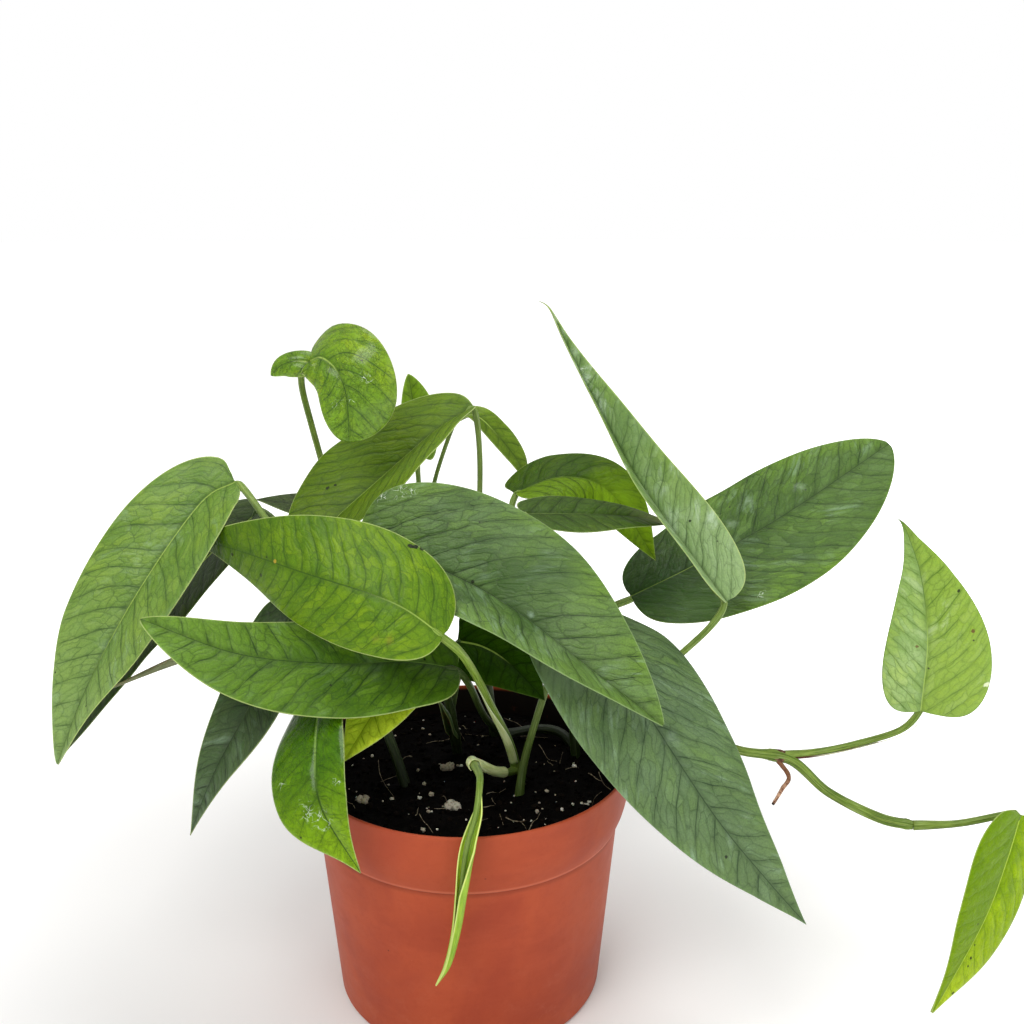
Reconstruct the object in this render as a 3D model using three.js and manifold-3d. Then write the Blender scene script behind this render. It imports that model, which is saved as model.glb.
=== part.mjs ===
// Cebu blue pothos (Epipremnum pinnatum) in its round plastic nursery pot.
// Millimetres, +Z up, front towards -Y. The origin is the centre of the pot's flat underside.
// Every leaf is one solid: a thin blade lofted along its midrib, joined to its own stalk.
// The stalks leave seven vines, which are rooted in sockets in the soil.
import * as THREE from "three";
import { mergeVertices } from "three/addons/utils/BufferGeometryUtils.js";
import Module from "manifold-3d";

const wasm = await Module();
wasm.setup();

// Pot
const POT_HEIGHT = 92;
const RIM_RADIUS = 60;
const COLLAR_HEIGHT = 23;
const COLLAR_FOOT = 56.2;
const COLLAR_STEP = 0.5;
const HEEL_RADIUS = 50;
const HEEL_HEIGHT = 1.6;
const BASE_RADIUS = 48.6;
const WALL = 1.3;
const DRAIN_HOLES = 8;
const DRAIN_RADIUS = 4;
const DRAIN_CIRCLE = 38;
const ROUND_STEPS = 40;

// Soil
const SOIL_TOP = 82;
const SOIL_CROWN = 1;

// Fit and mesh fineness
const GAP = 0.3;
const BLADE_THICKNESS = 0.8;
const BLADE_RINGS = 11;
const BLADE_COLUMNS = 4;
const TUBE_SIDES = 6;
const STALK_STEPS = 8;
const STEM_STEPS = 12;
const ROLL_STEPS = 12;

// Blades start and end a little short of the ideal outline's two points. The base reaches back
// beside the stalk by LOBE, most strongly at LOBE_AT of the length, and the stalk runs under the
// blade as far as STALK_INTO.
const BLADE_START = 0.02;
const BLADE_END = 0.985;
const LOBE = 5;
const LOBE_AT = 0.12;
const STALK_INTO = 0.06;

// Colours
const TERRACOTTA = 0xb25a42;
const EARTH = 0x17110d;
const YOUNG = 0x8bb23c;
const MID = 0x6f9a44;
const BLUE_GREEN = 0x4f7a55;
const DARK = 0x35552f;
const GLOSSY = 0x86b436;
const VINE = 0x7d9a45;
const DARK_VINE = 0x4a5a2a;
const ROOT_BROWN = 0x6b4429;
const PAPERY = 0xb9b48a;

// Vines: a few points along each stem, from its socket in the soil to its growing end
const VINES = {
  vine_front: {
    path: [[19, 3, 70], [19, 2, 81], [18, -1, 85], [15.5, -7, 87], [10.5, -17, 92.5],
      [5, -25, 99.5], [2.5, -29.5, 103]],
    girth: 1.6, colour: VINE,
  },
  vine_soil: {
    path: [[41, 24, 70], [40, 25, 81], [35, 29, 85.2], [26, 31, 85.6], [13, 26, 85.6]],
    girth: 2, colour: DARK_VINE,
  },
  vine_left: {
    path: [[-22, -10, 70], [-23, -8, 82], [-30, -3, 102], [-38, 2, 124], [-45, 14, 149],
      [-48, 28, 169]],
    girth: 2, colour: DARK_VINE,
  },
  vine_back: {
    path: [[10, 34, 70], [9, 34, 82], [5, 37, 114], [-2, 42, 144], [-12, 48, 168]],
    girth: 2, colour: VINE,
  },
  vine_right: {
    path: [[41, 15, 70], [41, 16, 82], [38, 20, 109], [30, 21, 134], [20, 23, 154]],
    girth: 2, colour: VINE,
  },
  vine_middle: {
    path: [[-5, 18, 70], [-5, 17, 82], [-8, 9, 109], [-14, 0, 134]],
    girth: 2, colour: DARK_VINE,
  },
  vine_trailing: {
    path: [[50, 8, 70], [51, 9, 82], [55, 12, 93], [62, 15, 98], [84, 18, 91], [105, 18, 83],
      [125, 18, 79], [140, 14, 67], [158, 7, 60], [170, 3, 59]],
    girth: 2, colour: VINE,
  },
};

// Leaves. rib: points along the midrib, base to tip. face: the way the upper side looks, at the
// base and at the tip. half: widest reach to the right and left of the rib. fold: how far each
// half is raised. curl: how far each half bends by its margin. from: the vine and how far along it
// the stalk leaves. stalk: points on the way up to the blade. shape: how full the base and the tip,
// and how much the tip is drawn out.
const LEAVES = {
  leaf_far_left: {
    rib: [[-81, 5, 194], [-93, 0, 187], [-112, -14, 160], [-128, -27, 130], [-136.5, -38, 106]],
    face: [[-0.2, -0.7, 0.6], [-0.5, -0.7, 0.5]], half: [23, 23], fold: 22, curl: -14,
    shape: [0.52, 0.68, 0.4], from: ["vine_left", 0.55], stalk: [[-52, -8, 154], [-62, -10, 174],
      [-70, -6, 185], [-77, 0, 192]],
    girth: 1.5, colour: MID,
  },
  leaf_behind_left: {
    rib: [[-76, 20, 180], [-96, 10, 163], [-121, -6, 135], [-140, -26, 103]],
    face: [[-0.5, -0.4, 0.8], [-0.4, -0.7, 0.6]], half: [22, 16], fold: 10, curl: -14,
    shape: [0.5, 1], from: ["vine_left", 0.72], stalk: [[-60, 16, 164]],
    girth: 1.5, colour: DARK,
  },
  leaf_front_light: {
    rib: [[-5, -50, 157], [-21, -49, 168], [-51, -37, 174], [-84, -13, 176],
      [-98, -2, 172]],
    face: [[0.2, -0.8, 0.6], [-0.4, -0.9, -0.1]], half: [22, 19], fold: -6, curl: -14,
    shape: [0.62, 1.35], from: ["vine_front", 0.31], stalk: [[15, -8, 100], [9, -17, 118],
      [5, -27, 132], [0, -42, 148]],
    girth: 1.6, colour: YOUNG,
  },
  leaf_front_low: {
    rib: [[-2, -23.5, 135], [-20, -28, 139.5], [-42, -36, 142], [-72.5, -41, 147.5], [-103, -42, 160]],
    face: [[0.3, -0.5, 0.8], [0.2, -0.7, 0.6]], half: [15, 20], fold: 10, curl: -14,
    shape: [0.47, 0.8], from: ["vine_soil", 1], stalk: [[6, 8, 102], [1, -8, 122]],
    girth: 1.5, colour: MID,
  },
  leaf_back_wide: {
    rib: [[2, 38, 215], [-12, 33, 207], [-31, 22, 192], [-50, 12, 176], [-61, 5, 163]],
    face: [[-0.4, -0.3, 0.9], [-0.4, -0.6, 0.7]], half: [27, 21], fold: 26, curl: -20,
    shape: [0.75, 0.75], from: ["vine_back", 0.6], stalk: [[3, 40, 160], [4, 38, 194]],
    girth: 1.3, colour: MID,
  },
  leaf_top_curled: {
    rib: [[-56, 20, 234.5], [-51, 17, 236], [-45, 12, 232], [-41.5, 9, 223], [-41, 7, 207.5]],
    face: [[-0.7, -0.2, 0.6], [0.2, -0.9, 0.3]], half: [11, 19], fold: 11, curl: -40,
    shape: [0.5, 0.52], from: ["vine_left", 1], stalk: [[-55, 37, 189], [-58.5, 32, 209],
      [-60, 25, 224], [-59, 22, 231.5]],
    girth: 1.4, colour: GLOSSY,
  },
  leaf_centre_blue: {
    rib: [[-38, -4, 177], [-5, -17, 167], [17, -31, 159], [41, -47, 145], [64, -58, 130]],
    face: [[-0.1, -0.6, 0.8], [0.3, -0.5, 0.8]], half: [21, 31], fold: 34, curl: -20,
    shape: [0.5, 0.85], from: ["vine_middle", 1], stalk: [[-25, -2, 156]],
    girth: 1.6, colour: BLUE_GREEN,
  },
  leaf_right_hanging: {
    rib: [[36, -4, 148], [50, -24, 138], [62, -40, 124], [81, -58, 99], [97, -66, 81],
      [110, -70, 67]],
    face: [[0.3, -0.3, 0.9], [0.2, -0.9, 0.5]], half: [28, 30], fold: 2, curl: -14,
    shape: [0.45, 1.18], from: [19, -14, 72], stalk: [[19, -14, 82], [21, -10, 94],
      [25, -9, 109], [31, -7, 129]],
    girth: 1.6, colour: BLUE_GREEN,
  },
  leaf_under_centre: {
    rib: [[-4, 7, 133], [6, 2, 132.5], [16, -5, 128.5], [28, -17, 120]],
    face: [[-0.2, -0.75, 0.65], [-0.1, -0.7, 0.7]], half: [14, 14], fold: 10, curl: -14,
    shape: [0.46, 1.1], from: ["vine_middle", 0.5], stalk: [[-3, 10, 122]],
    girth: 1.4, colour: DARK,
  },
  leaf_right_dark: {
    rib: [[62, 30, 142], [88, 34, 154], [122, 42, 171], [165, 52, 198]],
    face: [[-0.35, -0.4, 0.85], [-0.27, -0.68, 0.68]], half: [33, 27], fold: 7, curl: -14,
    shape: [0.5, 0.66], from: ["vine_right", 0.45], stalk: [[42, 24, 124], [51, 28, 136]],
    girth: 1.6, colour: BLUE_GREEN,
  },
  leaf_upright: {
    rib: [[93, -2, 151], [82, 6, 165], [62, 16, 192], [46.5, 23, 219.5], [36, 26, 239.5],
      [30.8, 26.5, 250.5], [28.4, 26.5, 253.8], [25.6, 26.5, 255.2]],
    face: [[0.3, -0.7, 0.6], [0.5, -0.9, 0.2]], half: [16.2, 11.4], fold: 52, curl: -10,
    shape: [0.48, 1.45], from: ["vine_trailing", 0.17], stalk: [[65, 10, 112], [77, 5, 127],
      [88, -1, 142]],
    girth: 1.5, colour: BLUE_GREEN,
  },
  leaf_vine_upper: {
    rib: [[172, 12, 102], [173, 15, 130], [170.2, 20, 153], [166, 24, 166.8], [163.4, 25.5, 172.6],
      [160.4, 26, 175.4]],
    face: [[-0.2, -1, 0.1], [-0.25, -0.9, 0.25]], half: [23, 16], fold: 12, curl: -14,
    shape: [0.56, 1.5, 0.1], from: ["vine_trailing", 0.62], stalk: [[135, 20, 81], [150, 19, 85],
      [166, 15, 93]],
    girth: 1.5, colour: YOUNG,
  },
  leaf_vine_lower: {
    rib: [[207, -4, 68], [201, -10, 52], [190, -20, 32], [168, -36, 6]],
    face: [[0.6, -0.8, 0.1], [0.6, -0.8, 0]], half: [25, 22], fold: 7, curl: -14,
    shape: [0.5, 1, 0.3], from: ["vine_trailing", 1], stalk: [[186, 1, 61], [200, -2, 66]],
    girth: 1.6, colour: YOUNG,
  },
  leaf_back_arched: {
    rib: [[-7, 55, 206.5], [-1, 57, 208.5], [4, 58, 206.8], [10, 58, 200.7], [15, 57.5, 194.8],
      [18.7, 57, 189.4], [21.3, 56.5, 183.5]],
    face: [[-0.6, -0.1, 0.8], [0.6, -0.6, 0.5]], half: [4.5, 7.5], fold: 6, curl: -14,
    shape: [0.7, 0.6], from: ["vine_back", 1], stalk: [[-15, 50, 180]],
    girth: 1, colour: MID,
  },
  leaf_back_folded: {
    rib: [[17, 30, 183.5], [36, 37, 188], [54, 37, 182], [71, 25, 158]],
    face: [[-0.28, -0.1, 0.96], [0.3, -0.85, 0.44]], half: [15, 15], fold: 8, curl: -14,
    shape: [0.5, 1.05], from: ["vine_right", 1], stalk: [[16, 26, 174]],
    girth: 1.4, colour: MID,
  },
  leaf_back_dark: {
    rib: [[19.5, 2, 183], [36, 5, 182], [56, 10, 180], [77, 17, 175]],
    face: [[0.26, -0.27, 0.93], [0.24, -0.21, 0.95]], half: [12, 12], fold: 8, curl: -14,
    shape: [0.62, 1.1], from: ["vine_right", 0.75], stalk: [[27, 8, 154], [23, 3, 171]],
    girth: 1.3, colour: BLUE_GREEN,
  },
  leaf_back_small: {
    rib: [[-22, 66, 190], [-23, 66, 207], [-25, 64, 224]],
    face: [[0.3, -0.95, 0], [0.3, -0.95, 0]], half: [9, 6], fold: 10, curl: -14,
    shape: [0.5, 0.75], from: ["vine_back", 0.86], stalk: [[-20, 60, 169], [-22, 65, 181]],
    girth: 1.2, colour: MID,
  },
  leaf_left_hanging: {
    rib: [[-58, -18, 156], [-71, -32, 127], [-83, -40, 105], [-92, -44, 83]],
    face: [[-0.4, -0.75, 0.54], [-0.44, -0.85, 0.3]], half: [14, 13], fold: 11, curl: -14,
    shape: [0.5, 1.15], from: ["vine_left", 0.5], stalk: [[-44, -6, 140], [-52, -13, 154]],
    girth: 1.4, colour: DARK,
  },
  leaf_front_glossy: {
    rib: [[-47, -34, 132], [-47, -50, 120], [-44, -62, 105], [-31, -69, 85]],
    face: [[-0.7, -0.5, 0.5], [0.15, -0.95, 0.25]], half: [17, 11], fold: 9, curl: -24,
    shape: [0.52, 0.9, 0.5], from: ["vine_left", 0.35], stalk: [[-37, -16, 120]],
    girth: 1.4, colour: GLOSSY,
  },
  leaf_pale_under: {
    rib: [[-18, -14, 134], [-28, -28, 125], [-40, -42, 109]],
    face: [[-0.13, -0.7, 0.7], [-0.13, -0.72, 0.68]], half: [12, 12], fold: 8, curl: -14,
    shape: [0.5, 1.08], from: ["vine_middle", 0.7], stalk: [[-13, -4, 127]],
    girth: 1.2, colour: YOUNG,
  },
  leaf_back_left: {
    rib: [[-50, 44, 176], [-66, 42, 176], [-83, 38, 179]],
    face: [[-0.13, -0.22, 0.97], [0.27, -0.14, 0.95]], half: [11, 11], fold: 4, curl: -14,
    shape: [0.5, 1.1], from: ["vine_back", 0.75], stalk: [[-20, 47, 162], [-38, 46, 172]],
    girth: 1.2, colour: DARK,
  },
};

// The curled top leaf has one lobe of its base thrown over to the left
const CURLED_LOBE = {
  rib: [[-54, 20, 233.5], [-60, 20, 234.5], [-66, 21, 233], [-70.5, 22, 229]],
  face: [[0, -0.8, 0.6], [-0.3, -0.9, 0.3]], half: [5, 6], fold: 10, curl: -50,
  shape: [0.5, 0.8],
};

// Slender round pieces that swell or taper: rolled new leaves, the trailing vine's aerial root and
// a cataphyll, the papery sheath of an old shoot. radii: the thickness at the vine and at each point
const ROLLED = {
  new_leaf_front: {
    path: [[5, -43, 107], [6, -55, 109], [5, -63, 103], [2, -65.5, 92], [0, -65, 76],
      [-2, -63, 60], [-5, -61, 46], [-9, -60, 37]],
    radii: [1.1, 1.5, 1.8, 1.6, 2.7, 2.5, 2.1, 1.7, 0.4], from: ["vine_front", 1], colour: GLOSSY,
  },
  aerial_root: {
    path: [[124, 14, 74], [121, 11, 70], [117, 8, 65]],
    radii: [1.1, 1, 0.9, 0.5], from: ["vine_trailing", 0.61], colour: ROOT_BROWN,
  },
  cataphyll: {
    path: [[-7, 8, 96], [-8, 3, 104], [-10, -5, 114]],
    radii: [1.5, 1.6, 1.5, 0.4], from: ["vine_middle", 0.3], colour: PAPERY,
  },
  new_leaf_left: {
    path: [[-52, -4, 136], [-66, -10, 140], [-82, -18, 142], [-98, -26, 139], [-118, -33, 132]],
    radii: [1.4, 1.5, 1.7, 1.8, 1.6, 0.4], from: ["vine_left", 0.44], colour: DARK_VINE,
  },
};

const vec = (p) => new THREE.Vector3(...p);

function curveThrough(points) {
  const through = points.map((p) => (p.isVector3 ? p : vec(p)));
  return new THREE.CatmullRomCurve3(through, false, "catmullrom", 0.5);
}

function material(colour, roughness) {
  return new THREE.MeshStandardMaterial({ color: colour, roughness, metalness: 0 });
}

// A closed skin over a row of rings that all have the same number of points
function loft(rings) {
  const count = rings[0].length;
  const positions = rings.flat().flatMap((p) => [p.x, p.y, p.z]);
  const index = [];
  for (let r = 0; r < rings.length - 1; r += 1) {
    for (let k = 0; k < count; k += 1) {
      const a = r * count + k;
      const b = r * count + ((k + 1) % count);
      index.push(a, b, b + count, a, b + count, a + count);
    }
  }
  const last = (rings.length - 1) * count;
  for (let k = 0; k < count / 2 - 1; k += 1) {
    const mirror = count - 1 - k;
    index.push(k, mirror, k + 1);
    index.push(k + 1, mirror, mirror - 1);
    index.push(last + k, last + k + 1, last + mirror);
    index.push(last + k + 1, last + mirror - 1, last + mirror);
  }
  const geometry = new THREE.BufferGeometry();
  geometry.setAttribute("position", new THREE.Float32BufferAttribute(positions, 3));
  geometry.setIndex(index);
  return geometry;
}

// three.js geometry to a solid that can be joined or cut, and back
function toSolid(geometry) {
  const bare = geometry.clone();
  bare.deleteAttribute("normal");
  bare.deleteAttribute("uv");
  const merged = mergeVertices(bare, 1e-4);
  return new wasm.Manifold(new wasm.Mesh({
    numProp: 3,
    vertProperties: new Float32Array(merged.attributes.position.array),
    triVerts: new Uint32Array(merged.index.array),
  }));
}

function toGeometry(solid) {
  const mesh = solid.getMesh();
  const geometry = new THREE.BufferGeometry();
  geometry.setAttribute("position", new THREE.Float32BufferAttribute(mesh.vertProperties, 3));
  geometry.setIndex(Array.from(mesh.triVerts));
  geometry.computeVertexNormals();
  return geometry;
}

// A round tube along a curve
function tube(points, radius, steps = STALK_STEPS) {
  const circle = new THREE.Shape();
  for (let k = 0; k < TUBE_SIDES; k += 1) {
    const angle = (2 * Math.PI * k) / TUBE_SIDES;
    const x = radius * Math.cos(angle);
    const y = radius * Math.sin(angle);
    if (k === 0) circle.moveTo(x, y);
    else circle.lineTo(x, y);
  }
  circle.closePath();
  return new THREE.ExtrudeGeometry(circle, {
    steps,
    extrudePath: curveThrough(points),
    bevelEnabled: false,
  });
}

// Relative width of a blade at s, from 0 at the base to 1 at the tip
function fullness(s, [base, tip, drawn = 0]) {
  const widest = base / (base + tip);
  const slimmer = 1 - drawn * THREE.MathUtils.smoothstep(s, 0.6, 1);
  return (s / widest) ** base * ((1 - s) / (1 - widest)) ** tip * slimmer;
}

// The point of a blade at s along the rib and t across it (-1 left margin, 1 right margin),
// raised by lift along the blade's own normal
function bladePoint(leaf, curve, s, t, lift) {
  const origin = curve.getPointAt(s);
  const along = curve.getTangentAt(s);
  const faceBase = vec(leaf.face[0]).normalize();
  const faceTip = vec(leaf.face[1]).normalize();
  const up = faceBase.multiplyScalar(1 - s).addScaledVector(faceTip, s);
  up.addScaledVector(along, -up.dot(along)).normalize();
  const across = new THREE.Vector3().crossVectors(along, up);
  const width = fullness(s, leaf.shape);
  const reach = Math.abs(t) * width;
  const half = (t > 0 ? leaf.half[0] : leaf.half[1]) * reach;
  const fold = THREE.MathUtils.degToRad(leaf.fold);
  const bend = THREE.MathUtils.degToRad(leaf.curl) * reach || 1e-6;
  const out = (half * (Math.sin(fold + bend) - Math.sin(fold))) / bend;
  const rise = (half * (Math.cos(fold) - Math.cos(fold + bend))) / bend;
  const side = Math.sign(t);
  const lobe = LOBE * t * t * (s / LOBE_AT) * Math.exp(1 - s / LOBE_AT);
  const slope = t === 0 ? 0 : fold + bend;
  return origin
    .addScaledVector(across, side * (out - lift * Math.sin(slope)))
    .addScaledVector(up, rise + lift * Math.cos(slope))
    .addScaledVector(along, -lobe);
}

function blade(leaf) {
  const curve = curveThrough(leaf.rib);
  const rings = [];
  for (let r = 0; r < BLADE_RINGS; r += 1) {
    // more rings near the rounded base
    const s = BLADE_START + (BLADE_END - BLADE_START) * (r / (BLADE_RINGS - 1)) ** 1.3;
    const lower = [];
    const upper = [];
    for (let c = 0; c <= BLADE_COLUMNS; c += 1) {
      const t = -1 + (2 * c) / BLADE_COLUMNS;
      upper.push(bladePoint(leaf, curve, s, t, BLADE_THICKNESS / 2));
      lower.push(bladePoint(leaf, curve, s, t, -BLADE_THICKNESS / 2));
    }
    rings.push([...upper, ...lower.reverse()]);
  }
  return loft(rings);
}

// The room that a stem takes up: its own tube, a gap wider and a gap longer at both ends
function clearance(path, girth, steps) {
  const curve = curveThrough(path);
  const around = (girth + GAP) / Math.cos(Math.PI / TUBE_SIDES);
  let room = toSolid(tube(path, girth + GAP, steps));
  for (const [end, sign] of [[0, -1], [1, 1]]) {
    const tip = curve.getPointAt(end);
    const past = tip.clone().addScaledVector(curve.getTangentAt(end), sign * GAP);
    const inside = tip.clone().addScaledVector(curve.getTangentAt(end), -sign);
    room = room.add(toSolid(tube([inside, past], around, 1)));
  }
  return room;
}

// The stalk's way: from the middle of its vine, or from its own foot in the soil
function stalkStart(from) {
  if (typeof from[0] !== "string") return vec(from);
  const [vine, share] = from;
  return curveThrough(VINES[vine].path).getPointAt(share);
}

function stalkPath(leaf) {
  const under = curveThrough(leaf.rib).getPointAt(STALK_INTO);
  return [stalkStart(leaf.from), ...leaf.stalk, vec(leaf.rib[0]), under];
}

// A stalk clasps its vine with a saddle a gap wide
function seatOnVine(solid, from) {
  if (typeof from[0] !== "string") return solid;
  const { path, girth } = VINES[from[0]];
  return solid.subtract(clearance(path, girth, STEM_STEPS));
}

function leafGeometry(name, leaf) {
  const stalk = seatOnVine(toSolid(tube(stalkPath(leaf), leaf.girth)), leaf.from);
  let solid = toSolid(blade(leaf)).add(stalk);
  if (name === "leaf_top_curled") solid = solid.add(toSolid(blade(CURLED_LOBE)));
  return toGeometry(solid);
}

// A rolled leaf: round rings that swell and taper along a path
function rollGeometry(roll) {
  const curve = curveThrough([stalkStart(roll.from), ...roll.path]);
  const { radii } = roll;
  const steps = ROLL_STEPS;
  const rings = [];
  const frames = curve.computeFrenetFrames(steps, false);
  for (let r = 0; r <= steps; r += 1) {
    const share = r / steps;
    const place = curve.getUtoTmapping(share) * (radii.length - 1);
    const k = Math.min(Math.floor(place), radii.length - 2);
    const radius = THREE.MathUtils.lerp(radii[k], radii[k + 1], place - k);
    const centre = curve.getPointAt(share);
    const ring = [];
    for (let a = 0; a < TUBE_SIDES; a += 1) {
      const angle = (2 * Math.PI * a) / TUBE_SIDES;
      ring.push(centre.clone()
        .addScaledVector(frames.normals[r], radius * Math.cos(angle))
        .addScaledVector(frames.binormals[r], radius * Math.sin(angle)));
    }
    rings.push(ring);
  }
  return toGeometry(seatOnVine(toSolid(loft(rings)), roll.from));
}

function latheZ(profile) {
  const outline = profile.map(([r, z]) => new THREE.Vector2(r, z));
  const geometry = new THREE.LatheGeometry(outline, ROUND_STEPS);
  geometry.rotateX(Math.PI / 2);
  return geometry;
}

function potGeometry() {
  const collarBottom = POT_HEIGHT - COLLAR_HEIGHT;
  const shoulder = collarBottom + 13;
  const profile = [
    [0, 0],
    [BASE_RADIUS, 0],
    [HEEL_RADIUS, HEEL_HEIGHT],
    [COLLAR_FOOT - COLLAR_STEP, collarBottom - 0.4],
    [COLLAR_FOOT, collarBottom],
    [COLLAR_FOOT + 2, collarBottom + 5],
    [RIM_RADIUS - 0.4, shoulder],
    [RIM_RADIUS, POT_HEIGHT - 0.8],
    [RIM_RADIUS - 0.5, POT_HEIGHT],
    [RIM_RADIUS - WALL + 0.2, POT_HEIGHT],
    [RIM_RADIUS - 0.4 - WALL, shoulder],
    [COLLAR_FOOT + 2 - WALL, collarBottom + 5],
    [COLLAR_FOOT - COLLAR_STEP - WALL, collarBottom - 1],
    [HEEL_RADIUS - WALL, HEEL_HEIGHT + 0.5],
    [BASE_RADIUS - 0.6, WALL],
    [0, WALL],
  ];
  let pot = toSolid(latheZ(profile));
  for (let k = 0; k < DRAIN_HOLES; k += 1) {
    const angle = (2 * Math.PI * (k + 0.5)) / DRAIN_HOLES;
    const hole = new THREE.CylinderGeometry(DRAIN_RADIUS, DRAIN_RADIUS, 6, 12);
    hole.rotateX(Math.PI / 2);
    hole.translate(DRAIN_CIRCLE * Math.cos(angle), DRAIN_CIRCLE * Math.sin(angle), 0);
    pot = pot.subtract(toSolid(hole));
  }
  return toGeometry(pot);
}

function soilGeometry() {
  const profile = [
    [0, WALL + GAP],
    [BASE_RADIUS - 1.5, WALL + GAP],
    [HEEL_RADIUS - WALL - 0.8, HEEL_HEIGHT + 1],
    [COLLAR_FOOT - COLLAR_STEP - WALL - 0.5, POT_HEIGHT - COLLAR_HEIGHT - 2],
    [RIM_RADIUS - 0.7 - WALL - 0.6, SOIL_TOP - 1],
    [RIM_RADIUS - 8, SOIL_TOP],
    [0, SOIL_TOP + SOIL_CROWN],
  ];
  let soil = toSolid(latheZ(profile));
  for (const { path, girth } of Object.values(VINES)) {
    soil = soil.subtract(clearance(path, girth, STEM_STEPS));
  }
  const hanging = LEAVES.leaf_right_hanging;
  soil = soil.subtract(clearance(stalkPath(hanging), hanging.girth, STALK_STEPS));
  return toGeometry(soil);
}

const group = new THREE.Group();

function add(name, geometry, colour, roughness) {
  const mesh = new THREE.Mesh(geometry, material(colour, roughness));
  mesh.name = name;
  group.add(mesh);
}

add("pot", potGeometry(), TERRACOTTA, 0.55);
add("soil", soilGeometry(), EARTH, 0.95);
for (const [name, vine] of Object.entries(VINES)) {
  add(name, tube(vine.path, vine.girth, STEM_STEPS), vine.colour, 0.5);
}
for (const [name, leaf] of Object.entries(LEAVES)) {
  add(name, leafGeometry(name, leaf), leaf.colour, 0.4);
}
for (const [name, roll] of Object.entries(ROLLED)) {
  add(name, rollGeometry(roll), roll.colour, 0.45);
}

export default group;
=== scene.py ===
"""Cebu blue pothos in its round plastic nursery pot: fine leaves, stems, soil and pot around the
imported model. Lengths in the tables are millimetres; every Blender object is in metres."""
import math
from functools import partial, reduce
import bpy
import numpy as np
from mathutils import Matrix, Vector


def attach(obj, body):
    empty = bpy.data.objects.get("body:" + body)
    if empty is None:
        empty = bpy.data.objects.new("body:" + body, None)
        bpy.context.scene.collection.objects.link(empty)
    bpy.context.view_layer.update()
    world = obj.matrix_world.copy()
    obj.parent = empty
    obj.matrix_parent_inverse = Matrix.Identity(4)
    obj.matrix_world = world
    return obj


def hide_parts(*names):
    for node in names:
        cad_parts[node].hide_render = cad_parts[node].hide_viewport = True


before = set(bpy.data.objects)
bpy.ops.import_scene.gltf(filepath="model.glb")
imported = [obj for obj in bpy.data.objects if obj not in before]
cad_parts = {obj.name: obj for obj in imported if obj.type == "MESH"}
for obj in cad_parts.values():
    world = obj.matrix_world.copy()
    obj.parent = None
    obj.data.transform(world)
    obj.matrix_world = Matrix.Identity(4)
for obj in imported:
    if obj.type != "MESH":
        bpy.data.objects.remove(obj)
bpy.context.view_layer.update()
MM = 0.001
TURN = 2 * np.pi

# ---------------------------------------------------------------- construction values
# Vines and leaves are measured along smooth paths through their points. A leaf has its midrib,
# the way its blade faces at foot and tip, how far it reaches right and left of the rib, the fold
# and the curl of these halves in degrees, the fullness of its outline (foot, tip, drawn-out tip),
# and its stalk, which starts at root: a share of a vine's length, or a point.
VINES = {
    "vine_front": dict(stem="pale", girth=1.6, path=[(19, 3, 70), (19, 2, 81), (18, -1, 85),
        (15.5, -7, 87), (10.5, -17, 92.5), (5, -25, 99.5), (2.5, -29.5, 103)]),
    "vine_soil": dict(stem="dark", girth=2, path=[(41, 24, 70), (40, 25, 81), (35, 29, 85.2),
        (26, 31, 85.6), (13, 26, 85.6)]),
    "vine_left": dict(stem="dark", girth=2, path=[(-22, -10, 70), (-23, -8, 82), (-30, -3, 102),
        (-38, 2, 124), (-45, 14, 149), (-48, 28, 169)]),
    "vine_back": dict(stem="deep", girth=2, path=[(10, 34, 70), (9, 34, 82), (5, 37, 114),
        (-2, 42, 144), (-12, 48, 168)]),
    "vine_right": dict(stem="deep", girth=2, path=[(41, 15, 70), (41, 16, 82), (38, 20, 109),
        (30, 21, 134), (20, 23, 154)]),
    "vine_middle": dict(stem="dark", girth=2, path=[(-5, 18, 70), (-5, 17, 82), (-8, 9, 109),
        (-14, 0, 134)]),
    "vine_trailing": dict(stem="trailing", girth=2, path=[(50, 8, 70), (51, 9, 82), (55, 12, 93),
        (62, 15, 98), (84, 18, 91), (105, 18, 83), (125, 18, 79), (140, 14, 67), (158, 7, 60),
        (170, 3, 59)]),
}
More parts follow.
